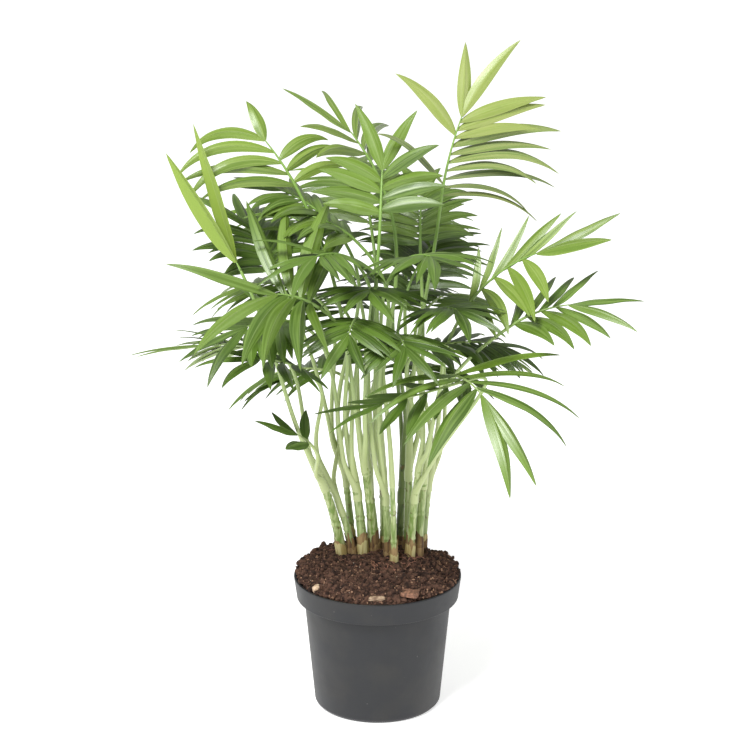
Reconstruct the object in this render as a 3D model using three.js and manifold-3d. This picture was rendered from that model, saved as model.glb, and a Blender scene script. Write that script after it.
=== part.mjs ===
// Parlour palm in a 12 cm nursery pot.
// Millimetres, +Z up. Origin at the centre of the pot's underside, front towards -Y.
import * as THREE from 'three';
import Module from 'manifold-3d';

const wasm = await Module();
wasm.setup();
const { Vector3 } = THREE;
const UP = new Vector3(0, 0, 1);
const rad = THREE.MathUtils.degToRad;

// ---------------------------------------------------------------- driving sizes
const GAP = 0.3;              // clearance kept between neighbouring solids
const POT = {
  height: 98, rim: 60.3, collarFoot: 58.4, collar: 16.0, shoulder: 52.8, base: 45.6,
  edge: 2.6, wall: 1.5, floor: 2.0, holes: 6, holeRadius: 4.0, holeRing: 34, sides: 32,
};
const EARTH = { edge: 97, crown: 109, steep: 3, lump: 0.9, socket: 6.0 };
const STEM = { sides: 7, rings: 6, foot: 1.12, swell: 0.15, top: 0.68, steep: 0.45 };
const RIB = {
  foot: 1.75, neck: 1.25, tip: 0.6, petioleSteps: 6, bladeSteps: 5, air: 0.55, reach: 0.4,
  lean: 0.08, bows: [5, 9, 13, 18, 24, 30], ways: 8,
};
const LEAF = {
  steps: 10, thick: 1 / 85, least: 0.9, root: 0.4, widest: 0.4, fullness: 0.85,
  neck: 0.2, neckEnd: 0.3, nudges: [0, 8, -8, 16, -16, 24, -24],
};

// Each stem: name, foot x y, top x y z, radius.
const STEMS = [
  ['s01', -25, 16, -46, -8, 186, 3.6],
  ['s02', -17, 14, -38, 10, 172, 2.8],
  ['s03', -18, 32, -27, 38, 182, 2.8],
  ['s04', -10, 14, -20, 0, 192, 3.6],
  ['s05', -2, 18, -11, -6, 196, 4.0],
  ['s06', 6, 22, 2, 12, 198, 3.6],
  ['s07', 12, -2, 10, -12, 182, 2.4],
  ['s08', 17, 36, 20, 46, 180, 4.0],
  ['s09', 22, 24, 23, 22, 194, 3.4],
  ['s10', 23, 8, 31, -14, 194, 3.2],
  ['s11', 29, 15, 36, 4, 192, 3.4],
  ['s12', 32, 31, 41, 33, 180, 3.2],
  ['s13', -4, 38, -8, 52, 186, 3.4],
  ['s14', 8, 8, 4, -8, 180, 3.0],
].map(([name, fx, fy, tx, ty, tz, r]) => ({ name, foot: [fx, fy], top: [tx, ty, tz], r }));

// Each frond: name, the stem it grows on and how far up, where its blade starts, which way the
// blade points (heading, pitch), the blade's length, and what differs from the common habit.
//   arch, swing      degrees that the blade's rib bends down and aside along its length
//   roll, twist      degrees that the blade is rolled about its rib, and how much more at its tip
//   pairs, skip      pairs of leaflets before the pair at the tip, and leaflets that are missing
//   leaf, width      length and width of a leaflet; tip scales the last pair, ratio the right side
//   spread, close    angle between leaflet and rib at the foot and at the tip; fork: of the last pair
//   lean, lift       degrees that leaflets lean to one side, and rise out of the blade
//   turn, sag        share by which a leaflet turns its face up, and degrees that it droops
//   sickle           degrees that a leaflet curves towards the tip
//   ragged           degrees by which leaflets stand unlike each other
//   leaf2, width2 and so on are the same value at the blade's tip, where it differs
const HABIT = {
  arch: 30, swing: 0, roll: 0, twist: 0, pairs: 5, skip: [], leaf: 52, width: 8.5, tip: 0.95,
  ratio: 1, spread: 62, close: 42, fork: 16, lean: 0, lift: 0, turn: 0.3, sag: 42, sickle: 12,
  ragged: 5, tint: 'mid', bends: [[0, 4, 7, 10], [0, 3, 6, 8, 10]],
};
// Fronds that hide behind others have fewer and simpler leaflets.
const HIDDEN = { pairs: 4, bends: [[0, 4, 10], [0, 4, 7, 10]] };
const FRONDS = [
  // the fronds that shape the outline
  ['tall_right', 's09', 1.0, [44, 0, 376], 40, 81, 60, { arch: 18, roll: 80, twist: -30, leaf: 70,
    leaf2: 62, width: 7.5, width2: 10.5, spread: 62, close: 42, fork: 11, lean: -12, lean2: -2, ratio: 1.25,
    tip: 0.82, turn: 0.85, turn2: 0.1, sag: 68, sag2: 10, skip: [0, 4, 6], tint: 'new' }],
  ['far_right', 's12', 1.0, [63, -10, 303], -20, 58, 66, { arch: 34, roll: 42, leaf: 48, leaf2: 60,
    width: 8.5, width2: 10.5, spread: 54, close: 36, lean: -20, lean2: -18, fork: 7, tip: 1.08,
    turn: 0.2, sag: 30, sag2: 15 }],
  ['low_right', 's11', 1.0, [92, -35, 296], -12, 38, 44, { arch: 28, roll: 20, pairs: 4, leaf: 58,
    width: 9, spread: 56, close: 40, lean: 10, fork: 18, turn: 0.1, sag: 34, sag2: 25 }],
  ['front_right', 's10', 0.95, [52, -50, 265], -60, 12, 38, { arch: 34, pairs: 4, leaf: 86,
    width: 11, spread: 70, close: 45, lean: -14, lean2: 0, fork: 9, lift: 22, lift2: -5, turn: 0.1,
    sag: 38, sag2: 70 }],
  ['front_low', 's10', 0.7, [61, -55, 263], -165, -14, 60, { arch: -6, pairs: 4, leaf: 46,
    leaf2: 54, width: 9.5, close: 40, fork: 22, turn: 0.2, sag: 20, tint: 'deep' }],
  ['high_left', 's05', 1.0, [-57, 10, 384], 155, 58, 38, { arch: 12, roll: -45, pairs: 4, leaf: 82,
    leaf2: 78, width: 8, width2: 9, spread: 60, close: 50, lean: -16, fork: 22, ratio: 0.6,
    tip: 0.75, turn: 0.1, sag: 38, sag2: 90, skip: [7] }],
  ['spear_left', 's01', 1.0, [-94, -20, 330], 152, 60, 8, { arch: 0, roll: 80, pairs: 1, leaf: 101,
    width: 14, fork: 8, turn: 0, sag: 5, sickle: 0, skip: [0, 1], tint: 'spear' }],
  ['front_left', 's04', 1.0, [-45, -60, 320], -160, 32, 26, { arch: 24, roll: -32, pairs: 4,
    leaf: 90, width: 11.5, spread: 88, close: 45, lean: -12, fork: 22, tip: 0.86, lift: 26,
    lift2: 5, turn: 0.2, sag: 30, tint: 'deep' }],
  ['low_left', 's02', 1.0, [-52, -40, 266], -150, 34, 36, { arch: 26, pairs: 4, spread: 75,
    close: 45, fork: 22, lift: 5, tint: 'deep' }],
  ['shoot_left', 's01', 0.85, [-48, -28, 208], 160, 40, 10, { arch: 20, pairs: 1, leaf: 34,
    width: 9, fork: 24, lift: 10, sag: 20, tint: 'deep' }],
  ['crown_left', 's06', 1.0, [-4, 32, 394], 150, 56, 27, { arch: 10, roll: 10, pairs: 3, leaf: 60,
    leaf2: 72, width: 9, spread: 66, close: 50, fork: 25, tip: 0.8, ratio: 1.2, turn: 0.15, sag: 30 }],
  ['crown_front', 's05', 0.9, [2, -25, 374], 85, 66, 30, { arch: 6, pairs: 4, leaf: 46, leaf2: 50,
    width: 10.5, spread: 74, close: 44, lift: 5, turn: 0.1, sag: 20 }],
  // the fronds inside the bush
  ['inner_01', 's06', 0.8, [-19, -20, 340], -125, 30, 42, { tint: 'deep' }],
  ['inner_02', 's07', 1.0, [16, -25, 338], -60, 36, 42, { tint: 'deep' }],
  ['inner_03', 's03', 1.0, [-33, 10, 357], 165, 46, 42, {}],
  ['inner_04', 's09', 0.8, [30, 26, 338], 88, 58, 38, { arch: 20, leaf: 42 }],
  ['inner_05', 's10', 1.0, [36, -18, 300], -62, 34, 40, { leaf: 46, tint: 'deep' }],
  ['inner_06', 's04', 0.8, [-14, -36, 302], -98, 16, 40, { leaf: 46, tint: 'deep' }],
  ['inner_07', 's14', 1.0, [12, -40, 291], -80, 20, 36, { leaf: 46, tint: 'deep' }],
  ['inner_08', 's11', 0.8, [34, -4, 270], 2, 16, 46, { arch: 24, leaf: 50, tint: 'deep' }],
  ['inner_09', 's02', 0.85, [-80, 0, 269], 180, 9, 32, { arch: 10, pairs: 4, leaf: 64, width: 6,
    roll: 30, spread: 45, sag: 20 }],
  ['inner_10', 's03', 0.8, [-73, 25, 319], 140, 60, 34, { arch: 20, pairs: 4, leaf: 56, tint: 'deep' }],
  ['inner_11', 's08', 1.0, [21, 20, 305], 60, 50, 44, { leaf: 50, tint: 'deep' }],
  ['inner_12', 's04', 0.7, [-60, -38, 300], -150, 18, 34, { leaf: 60, width: 11, tint: 'deep' }],
  ['inner_13', 's14', 0.8, [-3, -14, 314], -95, 34, 36, { leaf: 46, tint: 'deep' }],
  ['inner_14', 's13', 0.75, [-17, -4, 350], 170, 40, 36, { leaf: 46 }],
  // the fronds at the back
  ['back_01', 's06', 0.9, [-5, 60, 344], 100, 40, 64, { arch: 34, pairs: 5, leaf: 60 }],
  ['back_02', 's13', 1.0, [-31, 60, 323], 135, 34, 60, { arch: 34, pairs: 5, leaf: 58 }],
  ['back_03', 's09', 0.9, [22, 62, 318], 82, 34, 60, { arch: 34, pairs: 5, leaf: 50 }],
  ['back_04', 's08', 0.8, [12, 70, 282], 85, 18, 60, { pairs: 5, leaf: 58, tint: 'deep' }],
  ['back_05', 's13', 0.8, [-24, 64, 277], 120, 12, 56, { leaf: 58, tint: 'deep' }],
  ['back_06', 's12', 0.9, [34, 58, 278], 66, 14, 54, { leaf: 50 }],
  ['back_07', 's03', 0.9, [-48, 50, 293], 150, 16, 50, { leaf: 54 }],
  ['back_08', 's12', 0.8, [50, 54, 250], 46, 2, 46, { arch: 24, leaf: 48 }],
  ['back_09', 's13', 0.65, [-5, 64, 239], 95, 2, 54, { arch: 24, leaf: 54, tint: 'deep' }],
  ['back_10', 's02', 0.7, [-38, 50, 236], 150, 0, 44, { arch: 24, leaf: 50, tint: 'deep' }],
  ['back_11', 's08', 0.65, [26, 60, 232], 60, 0, 50, { arch: 24, leaf: 52, tint: 'deep' }],
].map(([name, stem, up, at, heading, pitch, length, own]) => ({
  ...HABIT,
  ...(/inner|back/.test(name) ? HIDDEN : {}),
  ...own,
  ...{ name, up, heading, pitch, length },
  stem: STEMS.find((s) => s.name === stem),
  at: new Vector3(...at),
}));

// ---------------------------------------------------------------- materials
const paint = (color, roughness) => new THREE.MeshStandardMaterial({ color, roughness, metalness: 0 });
const MATERIALS = {
  pot: paint('#46474a', 0.55), soil: paint('#3a2620', 0.95), stem: paint('#b4c487', 0.5),
  new: paint('#9dbb45', 0.45), spear: paint('#a5c244', 0.45), mid: paint('#5f9a33', 0.42),
  deep: paint('#3f7a2b', 0.42),
};

// ---------------------------------------------------------------- small maths
const direction = (heading, pitch) => new Vector3(
  Math.cos(rad(pitch)) * Math.cos(rad(heading)),
  Math.cos(rad(pitch)) * Math.sin(rad(heading)),
  Math.sin(rad(pitch)),
);
const turned = (v, axis, degrees) => v.clone().applyAxisAngle(axis, rad(degrees));
const mix = (a, b, t) => a + (b - a) * t;
function wobble(seed, i) {
  const x = Math.sin(seed * 12.9898 + i * 78.233) * 43758.5453;
  return (x - Math.floor(x)) * 2 - 1;
}

// ---------------------------------------------------------------- solids
function solid(points, faces) {
  const vertProperties = new Float32Array(points.flatMap((p) => [p.x, p.y, p.z]));
  let volume = 0;
  for (const [a, b, c] of faces) {
    volume += points[a].dot(new Vector3().crossVectors(points[b], points[c]));
  }
  const outward = volume > 0 ? faces : faces.map(([a, b, c]) => [a, c, b]);
  const triVerts = new Uint32Array(outward.flat());
  return new wasm.Manifold(new wasm.Mesh({ numProp: 3, vertProperties, triVerts }));
}

// A closed skin over equal rings of points, ending in flat caps or in single points.
function loft(rings) {
  const points = rings.flat();
  const faces = [];
  let start = 0;
  rings.forEach((ring, k) => {
    const n = ring.length;
    const next = rings[k + 1];
    if ((k === 0 || !next) && n > 1) {
      for (let i = 1; i < n - 1; i += 1) {
        faces.push(k === 0 ? [start, start + i + 1, start + i] : [start, start + i, start + i + 1]);
      }
    }
    if (next) {
      const m = next.length;
      const above = start + n;
      for (let i = 0; i < Math.max(n, m); i += 1) {
        const a = start + (i % n);
        const b = start + ((i + 1) % n);
        const c = above + (i % m);
        const d = above + ((i + 1) % m);
        if (n > 1) faces.push([a, b, d]);
        if (m > 1) faces.push([a, d, c]);
      }
    }
    start += n;
  });
  return solid(points, faces);
}

// Rings of equal corners round a path; `side` gives the way the first corner faces.
function tube(path, radii, side, sides, turn = 0) {
  return loft(path.map((p, k) => {
    const ahead = path[Math.min(k + 1, path.length - 1)].clone();
    ahead.sub(path[Math.max(k - 1, 0)]).normalize();
    const across = side.clone().addScaledVector(ahead, -side.dot(ahead)).normalize();
    return Array.from({ length: sides }, (_, i) => {
      const angle = (i * 360) / sides + turn;
      return p.clone().addScaledVector(turned(across, ahead, angle), radii[k]);
    });
  }));
}

function geometryOf(manifold) {
  const mesh = manifold.getMesh();
  const geometry = new THREE.BufferGeometry();
  const step = mesh.numProp;
  const count = mesh.vertProperties.length / step;
  const position = new Float32Array(count * 3);
  for (let i = 0; i < count; i += 1) {
    for (let c = 0; c < 3; c += 1) position[i * 3 + c] = mesh.vertProperties[i * step + c];
  }
  geometry.setAttribute('position', new THREE.BufferAttribute(position, 3));
  geometry.setIndex(new THREE.BufferAttribute(new Uint32Array(mesh.triVerts), 1));
  geometry.computeVertexNormals();
  return geometry;
}

// A geometry as a solid: points in one place are shared, so that it is closed. `shape` may move them.
function fromGeometry(geometry, shape = null) {
  const source = geometry.getAttribute('position');
  const known = new Map();
  const points = [];
  const index = [];
  for (let i = 0; i < source.count; i += 1) {
    const p = new Vector3().fromBufferAttribute(source, i);
    const key = [p.x, p.y, p.z].map((v) => Math.round(v * 1e4)).join();
    if (!known.has(key)) {
      known.set(key, points.length);
      points.push(p);
    }
    index.push(known.get(key));
  }
  if (shape) points.forEach(shape);
  const faces = [];
  const tri = geometry.getIndex();
  for (let i = 0; i < tri.count; i += 3) {
    const [a, b, c] = [0, 1, 2].map((k) => index[tri.getX(i + k)]);
    if (a !== b && b !== c && a !== c) faces.push([a, b, c]);
  }
  return solid(points, faces);
}

// A profile of radius and height, turned about the upright axis.
function turnedSolid(profile, sides, shape = null) {
  const lathe = new THREE.LatheGeometry(profile.map(([r, z]) => new THREE.Vector2(r, z)), sides);
  lathe.rotateX(Math.PI / 2);
  return fromGeometry(lathe, shape);
}

// ---------------------------------------------------------------- pot and soil
// The pot: a straight cone under an overhanging collar, with drain holes in its floor.
function makePot() {
  const { height: h, rim, collarFoot, collar, shoulder, base, edge, wall, floor } = POT;
  const outer = [[0, 0], [base - edge, 0], [base - edge * 0.3, edge * 0.3], [base, edge],
    [shoulder, h - collar - 3], [shoulder, h - collar - 1], [collarFoot - 0.8, h - collar],
    [collarFoot, h - collar + 1], [rim, h - 1], [rim - 0.5, h]];
  const inner = [[rim - wall - 0.3, h], [rim - wall - 0.8, h - 1],
    [collarFoot - wall, h - collar + 3], [shoulder - wall, h - collar - 2],
    [base - wall, edge + floor], [base - wall - 2, floor], [0, floor]];
  let pot = turnedSolid([...outer, ...inner], POT.sides);
  for (let k = 0; k < POT.holes; k += 1) {
    const hole = new THREE.CylinderGeometry(POT.holeRadius, POT.holeRadius, 10, 10);
    hole.rotateX(Math.PI / 2);
    const angle = rad((k * 360) / POT.holes + 30);
    hole.translate(POT.holeRing * Math.cos(angle), POT.holeRing * Math.sin(angle), 0);
    pot = pot.subtract(fromGeometry(hole));
  }
  return pot;
}

// Height of the soil at a distance from the middle of the pot.
function earthHeight(x, y) {
  const share = Math.min(1, Math.hypot(x, y) / (POT.rim - 3));
  return EARTH.edge + (EARTH.crown - EARTH.edge) * (1 - share ** EARTH.steep);
}

// The soil: it fills the pot along the inside of its wall, and has a socket for every stem.
function makeSoil() {
  const { height: h, rim, collarFoot, collar, shoulder, base, edge, wall, floor } = POT;
  const air = GAP + 0.1;
  const slope = (rim - 0.8 - collarFoot) / (collar - 4);
  const edgeRadius = collarFoot - wall + slope * (EARTH.edge - (h - collar + 3)) - air;
  const surface = [0.86, 0.7, 0.5, 0.25, 0].map((share) => edgeRadius * share);
  const profile = [[0, floor + GAP], [base - wall - 2 - air, floor + GAP],
    [base - wall - air, edge + floor], [shoulder - wall - air, h - collar - 2],
    [collarFoot - wall - air, h - collar + 3], [edgeRadius, EARTH.edge],
    ...surface.map((r) => [r, earthHeight(r, 0)])];
  let soil = turnedSolid(profile, POT.sides, (p) => {
    if (p.z > EARTH.edge + 0.1) {
      p.z += EARTH.lump * (Math.sin(p.x * 0.21 + 1) + Math.cos(p.y * 0.27 + p.x * 0.11)) * 0.5;
    }
  });
  for (const stem of STEMS) {
    const foot = stemPoint(stem, 0);
    const up = stemDirection(stem, 0);
    const path = [foot.clone().addScaledVector(up, -GAP), foot.clone().addScaledVector(up, 16)];
    const r = (stem.r * STEM.foot + GAP) / Math.cos(Math.PI / 8);
    soil = soil.subtract(tube(path, [r, r], new Vector3(1, 0, 0), 8));
  }
  return soil;
}

// ---------------------------------------------------------------- stems
// A stem rises steeply out of the soil and then leans over to its top.
function stemPoint(stem, t) {
  const [x, y] = stem.foot;
  const foot = new Vector3(x, y, earthHeight(x, y) - EARTH.socket);
  const top = new Vector3(...stem.top);
  const rise = top.clone().sub(foot);
  const bend = new Vector3(rise.x * STEM.steep, rise.y * STEM.steep, rise.z).normalize()
    .multiplyScalar(rise.length() / 2).add(foot);
  return new THREE.QuadraticBezierCurve3(foot, bend, top).getPoint(t);
}

function stemDirection(stem, t) {
  const step = 0.001;
  return stemPoint(stem, Math.min(1, t + step)).sub(stemPoint(stem, Math.max(0, t - step))).normalize();
}

// It swells at its foot and tapers from there to its top.
function stemRadius(stem, t) {
  const share = t < STEM.swell
    ? mix(STEM.foot, 1, t / STEM.swell)
    : mix(1, STEM.top, (t - STEM.swell) / (1 - STEM.swell));
  return stem.r * share;
}

function makeStem(stem) {
  const steps = STEM.rings - 1;
  const shares = [0, ...Array.from({ length: STEM.rings }, (_, i) => mix(STEM.swell / 2, 1, i / steps))];
  const path = shares.map((t) => stemPoint(stem, t));
  const radii = shares.map((t) => stemRadius(stem, t));
  return tube(path, radii, new Vector3(1, 0, 0), STEM.sides);
}

// ---------------------------------------------------------------- frond axis
// The petiole leaves its stem's top, or its side, and curves into the rib of the blade.
// `seat` draws its foot in towards the stem.
function frondAxis(frond, bow, seat = 0) {
  const stalk = frond.stem;
  const own = stemDirection(stalk, frond.up);
  const start = stemPoint(stalk, frond.up);
  if (frond.up < 1) {
    const out = frond.at.clone().sub(start).setZ(0);
    out.addScaledVector(own, -out.dot(own)).normalize();
    start.addScaledVector(out, stemRadius(stalk, frond.up) + RIB.foot + GAP + 0.1 - seat);
    own.addScaledVector(out, RIB.lean).normalize();
  } else {
    start.addScaledVector(own, GAP + 0.05 - seat);
  }
  const aim = direction(frond.heading, frond.pitch);
  const reach = start.distanceTo(frond.at) * RIB.reach;
  const curve = new THREE.CubicBezierCurve3(
    start,
    start.clone().addScaledVector(own, reach).addScaledVector(bow, 0.5),
    frond.at.clone().addScaledVector(aim, -reach).add(bow),
    frond.at,
  );
  const petiole = curve.getPoints(RIB.petioleSteps);
  const blade = [frond.at.clone()];
  const aims = [aim];
  for (let i = 0; i < RIB.bladeSteps; i += 1) {
    const share = (i + 0.5) / RIB.bladeSteps;
    const step = direction(frond.heading + frond.swing * share, frond.pitch - frond.arch * share);
    blade.push(blade[i].clone().addScaledVector(step, frond.length / RIB.bladeSteps));
    const next = (i + 1) / RIB.bladeSteps;
    aims.push(direction(frond.heading + frond.swing * next, frond.pitch - frond.arch * next));
  }
  const path = [...petiole, ...blade.slice(1)];
  const radii = path.map((_, k) => (k <= RIB.petioleSteps
    ? mix(RIB.foot, RIB.neck, k / RIB.petioleSteps)
    : mix(RIB.neck, RIB.tip, (k - RIB.petioleSteps) / RIB.bladeSteps)));
  return { path, radii, blade, aims };
}

// Shortest distance between two straight pieces.
function pieceDistance(p1, q1, p2, q2) {
  const d1 = q1.clone().sub(p1);
  const d2 = q2.clone().sub(p2);
  const r = p1.clone().sub(p2);
  const a = d1.dot(d1);
  const e = d2.dot(d2);
  const f = d2.dot(r);
  const c = d1.dot(r);
  const b = d1.dot(d2);
  const den = a * e - b * b;
  const clamp = (v) => Math.min(1, Math.max(0, v));
  let s = den > 1e-9 ? clamp((b * f - c * e) / den) : 0;
  let t = (b * s + f) / e;
  if (t < 0) {
    t = 0;
    s = clamp(-c / a);
  } else if (t > 1) {
    t = 1;
    s = clamp((b - c) / a);
  }
  return p1.clone().addScaledVector(d1, s).distanceTo(p2.clone().addScaledVector(d2, t));
}

// Least air between two ribs or stems, each a path with a radius at every point.
function airBetween(one, other) {
  let least = Infinity;
  for (let i = 0; i + 1 < one.path.length; i += 1) {
    for (let k = 0; k + 1 < other.path.length; k += 1) {
      const wide = Math.max(one.radii[i], one.radii[i + 1])
        + Math.max(other.radii[k], other.radii[k + 1]);
      const apart = pieceDistance(one.path[i], one.path[i + 1], other.path[k], other.path[k + 1]);
      least = Math.min(least, apart - wide);
    }
  }
  return least;
}

// A petiole that would touch a neighbour bows aside until it is clear.
function* bows() {
  yield new Vector3();
  for (const size of RIB.bows) {
    for (let k = 0; k < RIB.ways; k += 1) {
      yield direction((k * 360) / RIB.ways, 0).multiplyScalar(size);
    }
  }
}

const stalks = STEMS.map((stem) => {
  const shares = Array.from({ length: 13 }, (_, i) => i / 12);
  return {
    owner: stem,
    path: shares.map((t) => stemPoint(stem, t)),
    radii: shares.map((t) => stemRadius(stem, t)),
  };
});

// A frond on a stem's top is clear of that stem; one on its side keeps the usual gap to it.
function airRound(axis, frond, placed) {
  const others = stalks.filter((stalk) => stalk.owner !== frond.stem);
  const air = [...others, ...placed].map((other) => airBetween(axis, other));
  if (frond.up < 1) {
    const own = stalks.find((stalk) => stalk.owner === frond.stem);
    air.push(airBetween(axis, own) + RIB.air - GAP);
  }
  return Math.min(...air);
}

function placeRibs() {
  const placed = [];
  for (const frond of FRONDS) {
    let best = null;
    for (const bow of bows()) {
      const axis = frondAxis(frond, bow);
      const air = airRound(axis, frond, placed);
      if (!best || air > best.air) best = { ...axis, air, bow, frond };
      if (air > RIB.air) break;
    }
    placed.push(best);
  }
  return placed;
}

function ribBody({ path, radii }, frond) {
  const flat = new Vector3().crossVectors(direction(frond.heading, 0), UP).normalize();
  return tube(path, radii, flat, 3, 30);
}

// A petiole's foot is drawn in or out until it lies the usual gap from its stem, or as near to that
// as the petioles beside it leave room for.
function seatRib(rib, ribs, stems) {
  const { frond, bow } = rib;
  const stem = stems.find((other) => other.owner === frond.stem.name);
  const others = ribs.filter((other) => other !== rib);
  const slack = rib.body.minGap(stem.body, RIB.foot * 3) - GAP;
  for (const share of [1, 0.7, 0.4]) {
    const axis = frondAxis(frond, bow, slack * share);
    const body = ribBody(axis, frond);
    if (others.every((other) => body.minGap(other.body, GAP * 2) > GAP * 0.9)) {
      Object.assign(rib, axis, { body });
      return;
    }
  }
}

// ---------------------------------------------------------------- leaflets
const along = (frond, key, s) => mix(frond[key], frond[`${key}2`] ?? frond[key], s);

// Where a share of the blade's rib lies, which way it runs, and the blade's side and upper face there.
function bladeFrame(frond, axis, s) {
  const x = s * RIB.bladeSteps;
  const i = Math.min(RIB.bladeSteps - 1, Math.floor(x));
  const point = axis.blade[i].clone().lerp(axis.blade[i + 1], x - i);
  const forward = axis.aims[i].clone().lerp(axis.aims[i + 1], x - i).normalize();
  const level = new Vector3().crossVectors(direction(frond.heading, 0), UP).normalize();
  const roll = frond.roll + frond.twist * s;
  const side = turned(level, forward, roll);
  const face = turned(new Vector3().crossVectors(level, forward), forward, roll);
  return { point, forward, side, face };
}

// Where every leaflet of a frond stands, and its size and droop, each a little unlike the next.
function leaflets(frond, axis, seed) {
  const leaves = [];
  for (let i = 0; i <= frond.pairs; i += 1) {
    const end = i === frond.pairs;
    for (const hand of [-1, 1]) {
      const j = 2 * i + (hand > 0 ? 1 : 0);
      if (frond.skip.includes(j)) continue;
      const s = end ? 1 : (i / frond.pairs + (hand > 0 ? 0.3 / frond.pairs : 0)) * 0.97;
      const { point, forward, side, face } = bladeFrame(frond, axis, s);
      const rib = mix(RIB.neck, RIB.tip, s);
      let angle = end ? frond.fork : mix(frond.spread, frond.close, s);
      angle += frond.ragged * wobble(seed, j) - (end ? 0 : hand * along(frond, 'lean', s));
      const lift = along(frond, 'lift', s) + frond.ragged * wobble(seed, j + 40);
      const plane = forward.clone().multiplyScalar(Math.cos(rad(angle)));
      plane.addScaledVector(side, hand * Math.sin(rad(angle)));
      let length = along(frond, 'leaf', s);
      length *= end ? frond.tip : 0.8 + 0.2 * Math.sin(Math.PI * Math.min(1, 0.15 + s * 0.8));
      length *= (1 + 0.08 * wobble(seed, j + 80)) * (hand > 0 ? frond.ratio : 1);
      leaves.push({
        ...{ point, plane, face, lift, length },
        turn: along(frond, 'turn', s),
        root: rib * LEAF.root,
        width: along(frond, 'width', s) * (1 + 0.1 * wobble(seed, j + 120)),
        sag: along(frond, 'sag', s) * (1 + 0.3 * wobble(seed, j + 160)),
        sickle: -hand * frond.sickle * (1 + 0.5 * wobble(seed, j + 200)),
      });
    }
  }
  return leaves;
}

// Half the width of a blade along its length, as a share of the widest half.
function halfWidth(t) {
  if (t >= 1) return 0;
  const share = t ** (Math.log(0.5) / Math.log(LEAF.widest));
  const half = Math.sin(Math.PI * share) ** LEAF.fullness;
  return Math.max(half, LEAF.neck * (1 - t / LEAF.neckEnd));
}

// The blade's centre line, width and face at every step, drooping by its own weight.
function bladeRows(leaf, nudge = 0) {
  const lift = leaf.lift + nudge;
  let aim = leaf.plane.clone().multiplyScalar(Math.cos(rad(lift)));
  aim = aim.addScaledVector(leaf.face, Math.sin(rad(lift))).normalize();
  let face = leaf.face.clone().multiplyScalar(1 - leaf.turn).addScaledVector(UP, leaf.turn);
  face.addScaledVector(aim, -face.dot(aim)).normalize();
  const centre = leaf.point.clone();
  const rows = [];
  for (let k = 0; k <= LEAF.steps; k += 1) {
    const t = k / LEAF.steps;
    const side = new Vector3().crossVectors(aim, face).normalize();
    const half = (halfWidth(t) * leaf.width) / 2;
    rows.push({ centre: centre.clone(), side, face: face.clone(), half, aim: aim.clone() });
    const level = new Vector3().crossVectors(aim, UP).negate();
    const flatness = level.length();
    if (flatness > 1e-6) {
      level.divideScalar(flatness);
      const droop = (leaf.sag / LEAF.steps) * (0.4 + 1.2 * t) * flatness;
      aim = turned(aim, level, droop);
      face = turned(face, level, droop);
    }
    aim = turned(aim, face, leaf.sickle / LEAF.steps).normalize();
    centre.addScaledVector(aim, leaf.length / LEAF.steps);
  }
  return rows;
}

// A leaflet as a three-sided blade through some of its rows, swollen by `skin` on every side.
function bladeSolid(rows, leaf, picks, skin) {
  const thick = Math.max(LEAF.least, leaf.length * LEAF.thick);
  return loft(picks.map((k) => {
    const { centre, side, face, half, aim } = rows[k];
    if (k === LEAF.steps) return [centre.clone().addScaledVector(aim, skin)];
    const wide = k === 0 ? leaf.root : half;
    const deep = k === 0 ? leaf.root : thick;
    return [
      centre.clone().addScaledVector(side, -wide - skin).addScaledVector(face, skin),
      centre.clone().addScaledVector(side, wide + skin).addScaledVector(face, skin),
      centre.clone().addScaledVector(face, -deep - skin),
    ];
  }));
}

// A leaflet that would touch another part is nudged up or down out of its way, or else left out.
function placeLeaflet(leaf, frond, taken) {
  const picks = frond.bends[leaf.sag > 60 ? 1 : 0];
  for (const nudge of LEAF.nudges) {
    const rows = bladeRows(leaf, nudge);
    const swollen = bladeSolid(rows, leaf, picks, GAP);
    const box = swollen.boundingBox();
    const touches = (other) => other.owner !== frond.name && boxesMeet(box, other.box)
      && !swollen.intersect(other.body).isEmpty();
    if (!taken.some(touches)) return bladeSolid(rows, leaf, picks, 0);
  }
  return null;
}

const boxesMeet = (a, b) => [0, 1, 2].every((i) => a.min[i] <= b.max[i] && b.min[i] <= a.max[i]);

// ---------------------------------------------------------------- the plant
const group = new THREE.Group();
function add(name, manifold, material) {
  const mesh = new THREE.Mesh(geometryOf(manifold), material);
  mesh.name = name;
  group.add(mesh);
}

add('pot', makePot(), MATERIALS.pot);
add('soil', makeSoil(), MATERIALS.soil);

const taken = [];
const take = (owner, body) => taken.push({ owner, body, box: body.boundingBox() });

for (const stem of STEMS) {
  const body = makeStem(stem);
  take(stem.name, body);
  add(`stem_${stem.name.slice(1)}`, body, MATERIALS.stem);
}

const ribs = placeRibs();
for (const rib of ribs) rib.body = ribBody(rib, rib.frond);
for (const rib of ribs) seatRib(rib, ribs, taken);
for (const rib of ribs) take(rib.frond.name, rib.body);

ribs.forEach((rib, index) => {
  const { frond } = rib;
  let { body } = rib;
  for (const leaf of leaflets(frond, rib, index + 1)) {
    const blade = placeLeaflet(leaf, frond, taken);
    if (blade) {
      take(frond.name, blade);
      body = body.add(blade);
    }
  }
  add(`frond_${frond.name}`, body, MATERIALS[frond.tint]);
});

export default group;
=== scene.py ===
"""A young parlour palm in a round nursery pot: the finished surfaces over the plain solids.

The solids are loaded as a fixed frame. Each piece is made by its own operator, and the canes, leaf
stalks and leaflets grow by the same rule as the solids, carried to finer leaflets. Lengths in the
rule are millimetres; every mesh is in metres.
"""

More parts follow.
